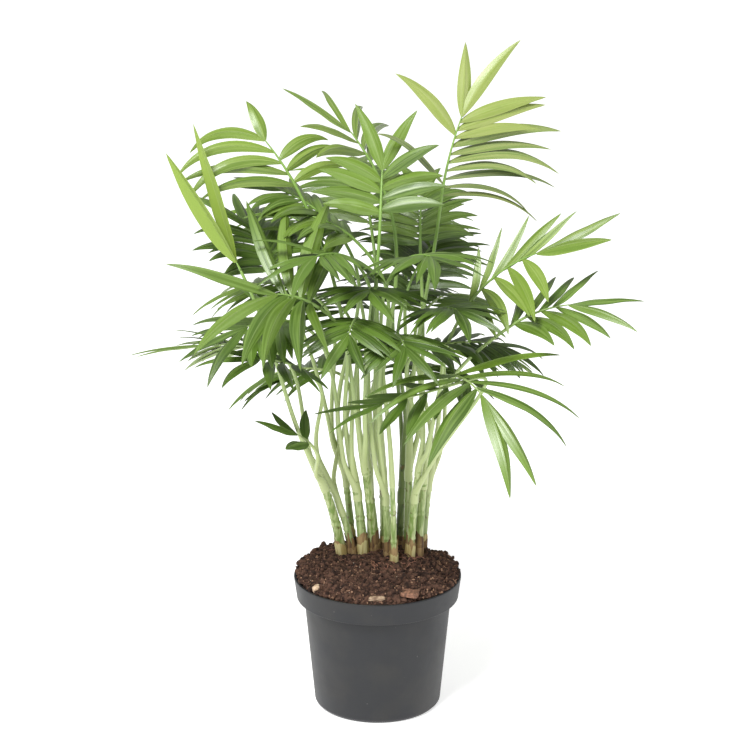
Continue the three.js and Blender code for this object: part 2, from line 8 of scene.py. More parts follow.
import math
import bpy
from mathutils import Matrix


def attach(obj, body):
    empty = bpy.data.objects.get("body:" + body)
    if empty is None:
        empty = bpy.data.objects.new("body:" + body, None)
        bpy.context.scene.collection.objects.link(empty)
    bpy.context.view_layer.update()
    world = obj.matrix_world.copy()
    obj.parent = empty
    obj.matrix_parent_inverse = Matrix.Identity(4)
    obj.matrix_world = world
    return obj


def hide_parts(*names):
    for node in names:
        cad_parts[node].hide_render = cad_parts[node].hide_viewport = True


bl_info = {
    "name": "Parlour palm",
    "version": (1, 0, 0),
    "blender": (4, 5, 0),
    "location": "View3D > Sidebar > Palm",
    "description": "Makes a potted parlour palm, piece by piece, around its plain solids",
    "category": "Add Mesh",
}

import bmesh
import bpy
import numpy as np
from mathutils import Quaternion, Vector, noise

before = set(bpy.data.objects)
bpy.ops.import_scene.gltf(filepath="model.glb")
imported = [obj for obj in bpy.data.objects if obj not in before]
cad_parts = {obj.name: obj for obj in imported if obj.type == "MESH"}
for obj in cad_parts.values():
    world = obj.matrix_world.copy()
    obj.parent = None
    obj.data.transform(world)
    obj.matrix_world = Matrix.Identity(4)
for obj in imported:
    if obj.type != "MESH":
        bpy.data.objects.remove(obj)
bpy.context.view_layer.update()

MM = 0.001
UP = (0.0, 0.0, 1.0)

# ---------------------------------------------------------------- the growing rule
# Air between one solid and the next, and between the fine soil and the pot's wall.
GAP = 0.3
AIR = GAP + 0.1
POT = {
    "height": 98.0, "rim": 60.3, "collar_foot": 58.4, "collar": 16.0, "shoulder": 52.8, "base": 45.6,
    "edge": 2.6, "wall": 1.5, "floor": 2.0, "holes": 6, "hole_radius": 4.0, "hole_ring": 34.0,
}
EARTH = {
    "edge": 97.0, "crown": 109.0, "steep": 3, "socket": 6.0, "lump": 2.2, "lump_size": 10,
    "crumb": 1.1, "crumb_size": 3.6, "spill": 2.6, "spills": ((170, 75), (-8, 50)),
    "bank": 5.2, "banks": ((145, 70), (20, 32)),
}
STEM = {"foot": 1.12, "swell": 0.15, "top": 0.68, "steep": 0.45}
RIB = {
    "foot": 1.75, "neck": 1.25, "petiole_steps": 6, "blade_steps": 5, "reach": 0.4, "lean": 0.08,
    "bows": (5, 9, 13, 18, 24, 30), "ways": 8,
}
LEAF = {
    "steps": 10, "widest": 0.4, "fullness": 0.85, "neck": 0.2, "neck_end": 0.3,
    "nudges": (0, 8, -8, 16, -16, 24, -24), "stagger": 0.3, "last": 0.97,
}
# Shares by which leaflets differ from the rule in length, width, droop and curve.
UNLIKE = {"leaf": 0.08, "width": 0.1, "sag": 0.3, "sickle": 0.5}
# What the finer leaflets and stalks add: rows along a leaflet, its ripple and twist, how near a tip
# must lie to its solid's, the size of the leaflets between the others, and the stalk's radii.
FINE = {
    "rows": 17, "ripple": 0.05, "twist": 14, "match": 0.06, "between": 0.88, "stalk_foot": 1.9,
    "stalk_neck": 1.1, "rib_tip": 0.45, "stalk_rows": 48,
}
# The sheath that clasps a cane where a leaf stalk leaves it, and the dry ones round the canes' feet:
# how tall the outer and the inner are, how loose each sits, and their wall.
SHEATH = {
    "clasp": 14, "skin": 0.35, "heights": (19, 10), "uneven": 0.35, "loose": (0.06, 0.38),
    "wall": 0.25, "columns": 24, "rows": 5,
}
# Rows along a cane, and the width of a ring, of the groove beside it and where that groove lies.
RING = {"rows": 110, "width": 1.1, "groove": 0.9, "groove_at": 2.2, "groove_depth": 0.4}
# Darker olive of the cane at the back: painted shade, for the shadow it stands in.
SHADED_CANE = "#6f7f4a"
# Each tone of cane but the commonest: its piece, its finish, colour and streaks, and its stems.
CANES = (
    ("canes_mid", "Mid green cane", "#b0c084", "#7f9653",
     ("s02", "s03", "s04", "s06", "s12", "s13", "s14")),
    # the olive cane is the cane green darkened with painted shade
    ("old_cane", "Old olive cane", SHADED_CANE, "#4f5e35", ("s08",)),
)

# Each stem: name, foot x y, top x y z, radius.
STEMS = {
    "s01": (-25, 16, -46, -8, 186, 3.6),
    "s02": (-17, 14, -38, 10, 172, 2.8),
    "s03": (-18, 32, -27, 38, 182, 2.8),
    "s04": (-10, 14, -20, 0, 192, 3.6),
    "s05": (-2, 18, -11, -6, 196, 4.0),
    "s06": (6, 22, 2, 12, 198, 3.6),
    "s07": (12, -2, 10, -12, 182, 2.4),
    "s08": (17, 36, 20, 46, 180, 4.0),
    "s09": (22, 24, 23, 22, 194, 3.4),
    "s10": (23, 8, 31, -14, 194, 3.2),
    "s11": (29, 15, 36, 4, 192, 3.4),
    "s12": (32, 31, 41, 33, 180, 3.2),
    "s13": (-4, 38, -8, 52, 186, 3.4),
    "s14": (8, 8, 4, -8, 180, 3.0),
}

# What every frond has in common. The names are those of the frond rows below.
#   arch, swing      degrees that the blade's rib bends down and aside along its length
#   roll, twist      degrees that the blade is rolled about its rib, and how much more at its tip
#   pairs, skip      pairs of leaflets before the pair at the tip, and leaflets that are missing
#   leaf, width      length and width of a leaflet; tip scales the last pair, ratio the right side
#   spread, close    angle between leaflet and rib at the foot and at the tip; fork: of the last pair
#   lean, lift       degrees that leaflets lean to one side, and rise out of the blade
#   turn, sag        share by which a leaflet turns its face up, and degrees that it droops
#   sickle           degrees that a leaflet curves towards the tip
#   ragged           degrees by which leaflets stand unlike each other
#   between          which side has finer leaflets between the others: -1 left, 1 right, 2 both
#   leaf2, width2 and so on are the same value at the blade's tip, where it differs
HABIT = {
    "arch": 30, "swing": 0, "roll": 0, "twist": 0, "pairs": 5, "skip": (), "leaf": 52, "width": 8.5,
    "tip": 0.95, "ratio": 1, "spread": 62, "close": 42, "fork": 16, "lean": 0, "lift": 0, "turn": 0.3,
    "sag": 42, "sickle": 12, "ragged": 5, "tint": "mid", "between": 0,
}
HIDDEN = {"pairs": 4, "between": 2}


def frond(stem, up, at, heading, pitch, length, hidden=False, **own):
    """One row of the frond table as a dict of every value of the habit."""
    place = {"stem": stem, "up": up, "at": np.array(at, float), "heading": heading, "pitch": pitch}
    return {**HABIT, **(HIDDEN if hidden else {}), **own, **place, "length": length}


# A tint of deep or shade is painted shade, for fronds that lie in the bush's shadow.
# Each frond: the stem it grows on and how far up, where its blade starts, heading, pitch, length.
FRONDS = {
    # the fronds that shape the outline
    "tall_right": frond("s09", 1.0, (44, 0, 376), 40, 81, 60, arch=18, roll=80, twist=-30, leaf=70,
                        leaf2=62, width=7.5, width2=10.5, spread=62, close=42, fork=11, lean=-12,
                        lean2=-2, ratio=1.25, tip=0.82, turn=0.85, turn2=0.1, sag=68, sag2=10,
                        skip=(0, 4, 6), tint="new", between=1),
    "far_right": frond("s12", 1.0, (63, -10, 303), -20, 58, 66, arch=34, roll=42, leaf=48, leaf2=60,
                       width=8.5, width2=10.5, spread=54, close=36, lean=-20, lean2=-18, fork=7,
                       tip=1.08, turn=0.2, sag=30, sag2=15, tint="fresh"),
    "low_right": frond("s11", 1.0, (92, -35, 296), -12, 38, 44, arch=28, roll=20, pairs=4, leaf=58,
                       width=9, spread=56, close=40, lean=10, fork=18, turn=0.1, sag=34, sag2=25),
    "front_right": frond("s10", 0.95, (52, -50, 265), -60, 12, 38, arch=34, pairs=4, leaf=86,
                         width=11, spread=70, close=45, lean=-14, lean2=0, fork=9, lift=22,
                         lift2=-5, turn=0.1, sag=38, sag2=70),
    "front_low": frond("s10", 0.7, (61, -55, 263), -165, -14, 60, arch=-6, pairs=4, leaf=46,
                       leaf2=54, width=9.5, close=40, fork=22, turn=0.2, sag=20, tint="deep"),
    "high_left": frond("s05", 1.0, (-57, 10, 384), 155, 58, 38, arch=12, roll=-45, pairs=4, leaf=82,
                       leaf2=78, width=8, width2=9, spread=60, close=50, lean=-16, fork=22,
                       ratio=0.6, tip=0.75, turn=0.1, sag=38, sag2=90, skip=(7,), tint="fresh"),
    "spear_left": frond("s01", 1.0, (-94, -20, 330), 152, 60, 8, arch=0, roll=80, pairs=1, leaf=101,
                        width=14, fork=8, turn=0, sag=5, sickle=0, skip=(0, 1), tint="spear"),
    "front_left": frond("s04", 1.0, (-45, -60, 320), -160, 32, 26, arch=24, roll=-32, pairs=4,
                        leaf=90, width=11.5, spread=88, close=45, lean=-12, fork=22, tip=0.86,
                        lift=26, lift2=5, turn=0.2, sag=30),
    "low_left": frond("s02", 1.0, (-52, -40, 266), -150, 34, 36, arch=26, pairs=4, spread=75,
                      close=45, fork=22, lift=5, tint="deep"),
    "shoot_left": frond("s01", 0.85, (-48, -28, 208), 160, 40, 10, arch=20, pairs=1, leaf=34,
                        width=9, fork=24, lift=10, sag=20, tint="deep"),
    "crown_left": frond("s06", 1.0, (-4, 32, 394), 150, 56, 27, arch=10, roll=10, pairs=3, leaf=60,
                        leaf2=72, width=9, spread=66, close=50, fork=25, tip=0.8, ratio=1.2,
                        turn=0.15, sag=30, tint="fresh"),
    "crown_front": frond("s05", 0.9, (2, -25, 374), 85, 66, 30, arch=6, pairs=4, leaf=46, leaf2=50,
                         width=10.5, spread=74, close=44, lift=5, turn=0.1, sag=20),
    # the fronds inside the bush
    "inner_01": frond("s06", 0.8, (-19, -20, 340), -125, 30, 42, True, tint="deep"),
    "inner_02": frond("s07", 1.0, (16, -25, 338), -60, 36, 42, True, tint="deep"),
    "inner_03": frond("s03", 1.0, (-33, 10, 357), 165, 46, 42, True),
    "inner_04": frond("s09", 0.8, (30, 26, 338), 88, 58, 38, True, arch=20, leaf=42),
    "inner_05": frond("s10", 1.0, (36, -18, 300), -62, 34, 40, True, leaf=46, tint="deep"),
    "inner_06": frond("s04", 0.8, (-14, -36, 302), -98, 16, 40, True, leaf=46, tint="deep"),
    "inner_07": frond("s14", 1.0, (12, -40, 291), -80, 20, 36, True, leaf=46, tint="deep"),
    "inner_08": frond("s11", 0.8, (34, -4, 270), 2, 16, 46, True, arch=24, leaf=50, tint="shade"),
    "inner_09": frond("s02", 0.85, (-80, 0, 269), 180, 9, 32, True, arch=10, leaf=64, width=6,
                      roll=30, spread=45, sag=20),
    "inner_10": frond("s03", 0.8, (-73, 25, 319), 140, 60, 34, True, arch=20, leaf=56, tint="deep"),
    "inner_11": frond("s08", 1.0, (21, 20, 305), 60, 50, 44, True, leaf=50, tint="shade"),
    "inner_12": frond("s04", 0.7, (-60, -38, 300), -150, 18, 34, True, leaf=60, width=11,
                      tint="deep"),
    "inner_13": frond("s14", 0.8, (-3, -14, 314), -95, 34, 36, True, leaf=46, tint="deep"),
    "inner_14": frond("s13", 0.75, (-17, -4, 350), 170, 40, 36, True, leaf=46),
    # the fronds at the back
    "back_01": frond("s06", 0.9, (-5, 60, 344), 100, 40, 64, True, arch=34, pairs=5, leaf=60),
    "back_02": frond("s13", 1.0, (-31, 60, 323), 135, 34, 60, True, arch=34, pairs=5, leaf=58),
    "back_03": frond("s09", 0.9, (22, 62, 318), 82, 34, 60, True, arch=34, pairs=5, leaf=50),
    "back_04": frond("s08", 0.8, (12, 70, 282), 85, 18, 60, True, pairs=5, leaf=58, tint="shade"),
    "back_05": frond("s13", 0.8, (-24, 64, 277), 120, 12, 56, True, leaf=58, tint="shade"),
    "back_06": frond("s12", 0.9, (34, 58, 278), 66, 14, 54, True, leaf=50),
    "back_07": frond("s03", 0.9, (-48, 50, 293), 150, 16, 50, True, leaf=54),
    "back_08": frond("s12", 0.8, (50, 54, 250), 46, 2, 46, True, arch=24, leaf=48),
    "back_09": frond("s13", 0.65, (-5, 64, 239), 95, 2, 54, True, arch=24, leaf=54, tint="shade"),
    "back_10": frond("s02", 0.7, (-38, 50, 236), 150, 0, 44, True, arch=24, leaf=50, tint="deep"),
    "back_11": frond("s08", 0.65, (26, 60, 232), 60, 0, 50, True, arch=24, leaf=52, tint="shade"),
}


# ---------------------------------------------------------------- small maths
def direction(heading, pitch):
    """Unit vector of a compass heading and a pitch above the level, in degrees."""
    level = math.cos(math.radians(pitch))
    turn = math.radians(heading)
    return Vector((level * math.cos(turn), level * math.sin(turn), math.sin(math.radians(pitch))))


def turned(vector, axis, degrees):
    return Quaternion(axis, math.radians(degrees)) @ vector


def mix(start, end, share):
    return start + (end - start) * share


def wobble(seed, index):
    """A steady pseudo-random number from -1 to 1."""
    value = math.sin(seed * 12.9898 + index * 78.233) * 43758.5453
    return (value - math.floor(value)) * 2 - 1


def refine(table, shares):
    """Smooth rows of a table at shares of its length, by Catmull-Rom."""
    table = np.asarray(table, float)
    last = len(table) - 1
    x = np.clip(np.asarray(shares) * last, 0, last - 1e-9)
    i = x.astype(int)
    f = (x - i)[:, None]
    before, here = table[np.maximum(i - 1, 0)], table[i]
    ahead, beyond = table[i + 1], table[np.minimum(i + 2, last)]
    return 0.5 * (2 * here + (ahead - before) * f
                  + (2 * before - 5 * here + 4 * ahead - beyond) * f ** 2
                  + (3 * here - before - 3 * ahead + beyond) * f ** 3)


def unit_rows(rows):
    return rows / np.linalg.norm(rows, axis=1, keepdims=True)


# ---------------------------------------------------------------- soil and canes by the rule
def earth_height(x, y):
    """Height of the soil at a place in the pot, without its crumbs."""
    share = min(1, math.hypot(x, y) / (POT["rim"] - 3))
    return EARTH["edge"] + (EARTH["crown"] - EARTH["edge"]) * (1 - share ** EARTH["steep"])


def cane_point(stem, t):
    fx, fy, tx, ty, tz, _ = STEMS[stem]
    foot = Vector((fx, fy, earth_height(fx, fy) - EARTH["socket"]))
    top = Vector((tx, ty, tz))
    rise = top - foot
    bend = Vector((rise.x * STEM["steep"], rise.y * STEM["steep"], rise.z)).normalized()
    bend = foot + bend * rise.length / 2
    return foot * (1 - t) ** 2 + bend * 2 * t * (1 - t) + top * t ** 2


def cane_direction(stem, t):
    step = 0.001
    return (cane_point(stem, min(1, t + step)) - cane_point(stem, max(0, t - step))).normalized()


def cane_radius(stem, t):
    share = (mix(STEM["foot"], 1, t / STEM["swell"]) if t < STEM["swell"]
             else mix(1, STEM["top"], (t - STEM["swell"]) / (1 - STEM["swell"])))
    return STEMS[stem][5] * share


def cane_length(stem):
    return (cane_point(stem, 1) - cane_point(stem, 0)).length


# ---------------------------------------------------------------- leaf stalks by the rule
def stalk_curve(row, bow):
    """The four points of the curve from the cane to the foot of the blade."""
    start = cane_point(row["stem"], row["up"])
    own = cane_direction(row["stem"], row["up"])
    at = Vector(row["at"])
    if row["up"] < 1:
        out = at - start
        out.z = 0
        out = (out - own * out.dot(own)).normalized()
        start = start + out * (cane_radius(row["stem"], row["up"]) + RIB["foot"] + AIR)
        own = (own + out * RIB["lean"]).normalized()
    else:
        start = start + own * (GAP + 0.05)
    aim = direction(row["heading"], row["pitch"])
    reach = (start - at).length * RIB["reach"]
    return start, start + own * reach + bow * 0.5, at - aim * reach + bow, at


def on_curve(points, t):
    a, b, c, d = points
    u = 1 - t
    return a * u ** 3 + b * 3 * u * u * t + c * 3 * u * t * t + d * t ** 3


def bows():
    """The ways in which a stalk may bow aside to clear a neighbour."""
    yield Vector()
    for size in RIB["bows"]:
        for k in range(RIB["ways"]):
            yield direction(k * 360 / RIB["ways"], 0) * size


def corners_of(node):
    """The corners of a solid, in millimetres."""
    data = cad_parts[node].data
    corners = np.empty(len(data.vertices) * 3)
    data.vertices.foreach_get("co", corners)
    return corners.reshape(-1, 3) / MM


def own_bow(row, corners):
    """The bow with which the stalk runs through its own solid."""
    steps = RIB["petiole_steps"]
    best = (math.inf, None)
    for bow in bows():
        curve = stalk_curve(row, bow)
        miss = 0
        for k in range(2, steps):
            centre = np.array(on_curve(curve, k / steps))
            apart = np.sort(np.linalg.norm(corners - centre, axis=1))[:3]
            miss += abs(apart.mean() - mix(RIB["foot"], RIB["neck"], k / steps))
        if miss < best[0]:
            best = (miss, bow)
    return best[1]


def blade_line(row):
    """Points and directions along the rib of the blade."""
    points = [Vector(row["at"])]
    aims = [direction(row["heading"], row["pitch"])]
    steps = RIB["blade_steps"]
    for i in range(steps):
        share = (i + 0.5) / steps
        step = direction(row["heading"] + row["swing"] * share, row["pitch"] - row["arch"] * share)
        points.append(points[i] + step * row["length"] / steps)
        share = (i + 1) / steps
        aims.append(direction(row["heading"] + row["swing"] * share,
                              row["pitch"] - row["arch"] * share))
    return points, aims


def stalk_rows(row, corners):
    """Centre and radius along a stalk, from the sheath round its cane to the tip of its rib."""
    stem, up = row["stem"], row["up"]
    curve = stalk_curve(row, own_bow(row, corners))
    clasp = SHEATH["clasp"] / cane_length(stem)
    below = [up - clasp, up - clasp / 4]
    rows = [[*cane_point(stem, t), cane_radius(stem, t) + SHEATH["skin"]] for t in below]
    for share in np.linspace(0.1, 1, 12):
        radius = mix(FINE["stalk_foot"], FINE["stalk_neck"], share ** 0.6)
        rows.append([*on_curve(curve, share), radius])
    points, _ = blade_line(row)
    for i, point in enumerate(points[1:], 1):
        rows.append([*point, mix(FINE["stalk_neck"], FINE["rib_tip"], i / RIB["blade_steps"])])
    return refine(rows, np.linspace(0, 1, FINE["stalk_rows"]))


# ---------------------------------------------------------------- leaflets by the rule
def along(row, key, s):
    return mix(row[key], row.get(key + "2", row[key]), s)


def blade_frame(row, line, s):
    """Where a share of the rib lies, which way it runs, and the blade's side and face there."""
    points, aims = line
    x = s * RIB["blade_steps"]
    i = min(RIB["blade_steps"] - 1, int(x))
    point = points[i].lerp(points[i + 1], x - i)
    forward = aims[i].lerp(aims[i + 1], x - i).normalized()
    level = direction(row["heading"], 0).cross(Vector(UP)).normalized()
    roll = row["roll"] + row["twist"] * s
    side = turned(level, forward, roll)
    face = turned(level.cross(forward), forward, roll)
    return point, forward, side, face


def leaflet(row, line, seed, j, s, hand, end=False, size=1.0):
    """How one leaflet stands on the rib, its size and its droop, each a little unlike the next."""
    point, forward, side, face = blade_frame(row, line, s)
    angle = row["fork"] if end else mix(row["spread"], row["close"], s)
    angle += row["ragged"] * wobble(seed, j) - (0 if end else hand * along(row, "lean", s))
    lift = along(row, "lift", s) + row["ragged"] * wobble(seed, j + 40)
    plane = forward * math.cos(math.radians(angle)) + side * hand * math.sin(math.radians(angle))
    length = along(row, "leaf", s) * size
    length *= row["tip"] if end else 0.8 + 0.2 * math.sin(math.pi * min(1, 0.15 + s * 0.8))
    length *= (1 + UNLIKE["leaf"] * wobble(seed, j + 80)) * (row["ratio"] if hand > 0 else 1)
    return {
        "point": point, "plane": plane, "face": face, "lift": lift, "length": length,
        "turn": along(row, "turn", s), "seed": seed * 100 + j,
        "tone": s if row["tint"] == "new" else wobble(seed, j + 240) / 2 + 0.5,
        "width": along(row, "width", s) * (1 + UNLIKE["width"] * wobble(seed, j + 120)) * size,
        "sag": along(row, "sag", s) * (1 + UNLIKE["sag"] * wobble(seed, j + 160)),
        "sickle": -hand * row["sickle"] * (1 + UNLIKE["sickle"] * wobble(seed, j + 200)),
    }


def leaflets(row, seed):
    """The leaflets of the solids, each marked True, and the finer ones between them."""
    line = blade_line(row)
    pairs = row["pairs"]
    for i in range(pairs + 1):
        end = i == pairs
        for hand in (-1, 1):
            j = 2 * i + (hand > 0)
            s = 1 if end else (i + (LEAF["stagger"] if hand > 0 else 0)) / pairs * LEAF["last"]
            if j not in row["skip"]:
                yield leaflet(row, line, seed, j, s, hand, end), True
            if not end and row["between"] in (hand, 2):
                s += 0.5 / pairs * LEAF["last"]
                yield leaflet(row, line, seed, j + 20, s, hand, size=FINE["between"]), False


def half_width(t):
    """Half the width of a leaflet along its length, as a share of the widest half."""
    share = np.clip(t, 0, 1) ** (math.log(0.5) / math.log(LEAF["widest"]))
    half = np.clip(np.sin(math.pi * share), 0, 1) ** LEAF["fullness"]
    return np.maximum(half, LEAF["neck"] * (1 - t / LEAF["neck_end"]))


def leaflet_rows(leaf, nudge):
    """Centre, side and face at every step of a leaflet that droops by its own weight."""
    lift = math.radians(leaf["lift"] + nudge)
    aim = (leaf["plane"] * math.cos(lift) + leaf["face"] * math.sin(lift)).normalized()
    face = leaf["face"] * (1 - leaf["turn"]) + Vector(UP) * leaf["turn"]
    face = (face - aim * face.dot(aim)).normalized()
    centre = leaf["point"].copy()
    rows = []
    steps = LEAF["steps"]
    for k in range(steps + 1):
        rows.append([*centre, *aim.cross(face).normalized(), *face])
        level = -aim.cross(Vector(UP))
        flatness = level.length
        if flatness > 1e-6:
            droop = leaf["sag"] / steps * (0.4 + 1.2 * k / steps) * flatness
            aim = turned(aim, level / flatness, droop)
            face = turned(face, level / flatness, droop)
        aim = turned(aim, face, leaf["sickle"] / steps).normalized()
        centre = centre + aim * leaf["length"] / steps
    return np.array(rows)


def grown_rows(leaf, solid, corners):
    """A leaflet's rows, bent up or down as its solid is; None where the solids leave it out."""
    if not solid:
        return leaflet_rows(leaf, 0)
    for nudge in LEAF["nudges"]:
        rows = leaflet_rows(leaf, nudge)
        if np.linalg.norm(corners - rows[-1, :3], axis=1).min() < FINE["match"]:
            return rows
    return None


# ---------------------------------------------------------------- the finer leaflet
# Height of the blade's surface across its width, from the midrib to a margin, as shares of the half
# width: a shallow roof with a side vein standing up halfway.
ACROSS = np.array([0.0, 0.27, 0.52, 0.78, 1.0])
PLEAT = np.array([0.04, -0.15, -0.18, -0.36, -0.42])
COLUMNS = np.concatenate([-ACROSS[:0:-1], ACROSS])
PLEATS = np.concatenate([PLEAT[:0:-1], PLEAT])


def leaflet_faces():
    """Corner numbers of the faces of one leaflet: its upper side, then its underside."""
    wide, rows = len(COLUMNS), FINE["rows"]
    tip = (rows - 1) * wide

    def top(r, c):
        return r * wide + c

    def under(r, c):
        shared = r == 0 or c in (0, wide - 1)
        return top(r, c) if shared else tip + 1 + (r - 1) * (wide - 2) + c - 1

    upper, lower = [], []
    for r in range(rows - 2):
        for c in range(wide - 1):
            upper.append((top(r, c), top(r, c + 1), top(r + 1, c + 1), top(r + 1, c)))
            lower.append((under(r, c), under(r + 1, c), under(r + 1, c + 1), under(r, c + 1)))
    for c in range(wide - 1):
        upper.append((top(rows - 2, c), top(rows - 2, c + 1), tip))
        lower.append((under(rows - 2, c + 1), under(rows - 2, c), tip))
    return upper, lower


def leaflet_corners(leaf, rows, sizes):
    """Corners of one leaflet in millimetres, and their place across and along it."""
    t = np.linspace(0, 1, FINE["rows"]) ** 0.9
    fine = refine(rows, t)
    centre, side, face = fine[:, :3], unit_rows(fine[:, 3:6]), unit_rows(fine[:, 6:])
    seed = leaf["seed"]
    twist = np.radians(FINE["twist"] * wobble(seed, 3) * t ** 1.5)[:, None]
    side, face = (side * np.cos(twist) + face * np.sin(twist),
                  face * np.cos(twist) - side * np.sin(twist))
    half = half_width(t) * leaf["width"] / 2
    fold = 1 + 0.5 * wobble(seed, 5)
    ripple = FINE["ripple"] * np.sin(2 * math.pi * (t * (2 + wobble(seed, 7)) + wobble(seed, 9)))
    height = half[:, None] * (PLEATS * fold + ripple[:, None] * np.abs(COLUMNS))
    skin = sizes.leaf_thickness / MM / 2 * np.sqrt(1 - COLUMNS ** 2) * np.minimum(1, t * 12)[:, None]
    flat = centre[:, None] + side[:, None] * (COLUMNS * half[:, None])[..., None]
    upper = flat + face[:, None] * (height + skin)[..., None]
    lower = flat + face[:, None] * (height - skin)[..., None]
    corners = np.concatenate([upper[:-1].reshape(-1, 3), centre[-1:],
                              lower[1:-1, 1:-1].reshape(-1, 3)])
    place = np.stack(np.broadcast_arrays(COLUMNS / 2 + 0.5, t[:, None]), axis=-1)
    place = np.concatenate([place[:-1].reshape(-1, 2), [[0.5, 1.0]], place[1:-1, 1:-1].reshape(-1, 2)])
    # each leaflet has a strip of the map to itself, so that its streaks are its own
    return corners, place + (leaf["seed"], 0)


# ---------------------------------------------------------------- meshes and pieces
def new_mesh(name, corners, faces, smooth=True, crease=None):
    """A mesh of corners in millimetres; edges sharper than `crease` degrees stay sharp."""
    data = bpy.data.meshes.new(name)
    data.from_pydata((np.asarray(corners) * MM).tolist(), [], [list(face) for face in faces])
    data.update()
    shade(data, smooth, crease)
    return data


def shade(data, smooth=True, crease=None):
    """Shade a mesh smooth but for the edges sharper than `crease` degrees."""
    data.polygons.foreach_set("use_smooth", [smooth] * len(data.polygons))
    if crease:
        data.set_sharp_from_angle(angle=math.radians(crease))


def joined(shapes):
    """Corners and faces of several shapes as one."""
    corners, faces = [], []
    for points, skin in shapes:
        start = len(corners)
        faces.extend([start + i for i in face] for face in skin)
        corners.extend(points)
    return corners, faces


def face_outwards(data):
    """Turn the faces of a closed mesh outwards."""
    work = bmesh.new()
    work.from_mesh(data)
    bmesh.ops.recalc_face_normals(work, faces=work.faces)
    work.to_mesh(data)
    work.free()


def new_object(name, data):
    piece = bpy.data.objects.new(name, data)
    bpy.context.scene.collection.objects.link(piece)
    return piece


def plain_copy(piece):
    """Give the piece its evaluated shape as a plain mesh, with its modifiers gone."""
    depsgraph = bpy.context.evaluated_depsgraph_get()
    result = bpy.data.meshes.new_from_object(piece.evaluated_get(depsgraph))
    result.name = piece.name
    piece.modifiers.clear()
    piece.data = result


def seat(piece, slot, *nodes):
    """Hang a finished piece under the root and hide the solids it stands for; the slot is not used."""
    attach(piece, "root")
    if nodes:
        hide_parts(*nodes)


def lathe(profile, segments, relief=None):
    """Corners and faces of a closed profile of radius and height turned about the upright axis."""
    angles = np.arange(segments) * 2 * math.pi / segments
    corners, rings, faces = [], [], []
    for radius, height in profile:
        start = len(corners)
        if radius < 1e-6:
            corners.append((0, 0, height))
            rings.append([start] * segments)
        else:
            corners.extend((radius * math.cos(a), radius * math.sin(a), height) for a in angles)
            rings.append(list(range(start, start + segments)))
    for low, high in zip(rings, rings[1:]):
        for k in range(segments):
            n = (k + 1) % segments
            face = list(dict.fromkeys((low[k], low[n], high[n], high[k])))
            if len(face) > 2:
                faces.append(face)
    if relief:
        corners = [relief(*corner) for corner in corners]
    return corners, faces


def rounded(profile, radius, steps=5):
    """A profile with every inner corner rounded."""
    points = [np.array(point, float) for point in profile]
    result = [points[0]]
    for before, here, after in zip(points, points[1:], points[2:]):
        back, ahead = before - here, after - here
        reach = min(radius, np.linalg.norm(back) * 0.45, np.linalg.norm(ahead) * 0.45)
        start = here + back / np.linalg.norm(back) * reach
        end = here + ahead / np.linalg.norm(ahead) * reach
        for u in np.linspace(0, 1, steps):
            result.append(start * (1 - u) ** 2 + here * 2 * u * (1 - u) + end * u ** 2)
    return [*result, points[-1]]


# ---------------------------------------------------------------- node trees
def add(tree, kind, inputs=None, **settings):
    """Add a node. `inputs` maps a socket to a value, or to the output that feeds it."""
    node = tree.nodes.new(kind)
    for key, value in settings.items():
        setattr(node, key, value)
    for key, value in (inputs or {}).items():
        if isinstance(value, bpy.types.NodeSocket):
            tree.links.new(value, node.inputs[key])
        else:
            node.inputs[key].default_value = value
    return node


def new_tree(name, sockets):
    """A geometry tree with a geometry in and out, and named inputs of the kinds given."""
    tree = bpy.data.node_groups.new(name, "GeometryNodeTree")
    tree.interface.new_socket("Geometry", in_out="OUTPUT", socket_type="NodeSocketGeometry")
    tree.interface.new_socket("Geometry", in_out="INPUT", socket_type="NodeSocketGeometry")
    for label, kind in sockets.items():
        tree.interface.new_socket(label, in_out="INPUT", socket_type="NodeSocket" + kind)
    return tree, add(tree, "NodeGroupInput").outputs


def close_tree(tree, geometry, material):
    """End a tree with real geometry in its material."""
    real = add(tree, "GeometryNodeRealizeInstances", {"Geometry": geometry})
    smooth = add(tree, "GeometryNodeSetShadeSmooth", {"Geometry": real.outputs[0]})
    painted = add(tree, "GeometryNodeSetMaterial", {"Geometry": smooth.outputs[0], "Material": material})
    add(tree, "NodeGroupOutput", {"Geometry": painted.outputs[0]})
    return tree


def grow(piece, tree, **values):
    """Run a tree on a piece with its named inputs set, and keep the result as a plain mesh."""
    modifier = piece.modifiers.new(tree.name, "NODES")
    modifier.node_group = tree
    for item in tree.interface.items_tree:
        if item.in_out == "INPUT" and item.name in values:
            modifier[item.identifier] = values[item.name]
    plain_copy(piece)


def sweep_tree():
    """A tube round every path; its girth comes from the path, its relief from noise."""
    tree, given = new_tree("swept stalks", {"Sides": "Int", "Relief": "Float", "Grain": "Float",
                                            "Skin": "Material"})
    curve = add(tree, "GeometryNodeMeshToCurve", {"Mesh": given["Geometry"]})
    girth = add(tree, "GeometryNodeInputNamedAttribute", {"Name": "girth"}, data_type="FLOAT")
    ring = add(tree, "GeometryNodeCurvePrimitiveCircle",
               {"Resolution": given["Sides"], "Radius": 1.0})
    tube = add(tree, "GeometryNodeCurveToMesh",
               {"Curve": curve.outputs[0], "Profile Curve": ring.outputs[0],
                "Scale": girth.outputs["Attribute"], "Fill Caps": True})
    noise_node = add(tree, "ShaderNodeTexNoise", {"Scale": given["Grain"], "Detail": 2.0})
    swing = add(tree, "ShaderNodeMath", {0: noise_node.outputs[0], 1: 0.5}, operation="SUBTRACT")
    height = add(tree, "ShaderNodeMath", {0: swing.outputs[0], 1: given["Relief"]},
                 operation="MULTIPLY")
    normal = add(tree, "GeometryNodeInputNormal")
    offset = add(tree, "ShaderNodeVectorMath",
                 {0: normal.outputs[0], "Scale": height.outputs[0]}, operation="SCALE")
    moved = add(tree, "GeometryNodeSetPosition",
                {"Geometry": tube.outputs[0], "Offset": offset.outputs[0]})
    return close_tree(tree, moved.outputs[0], given["Skin"])


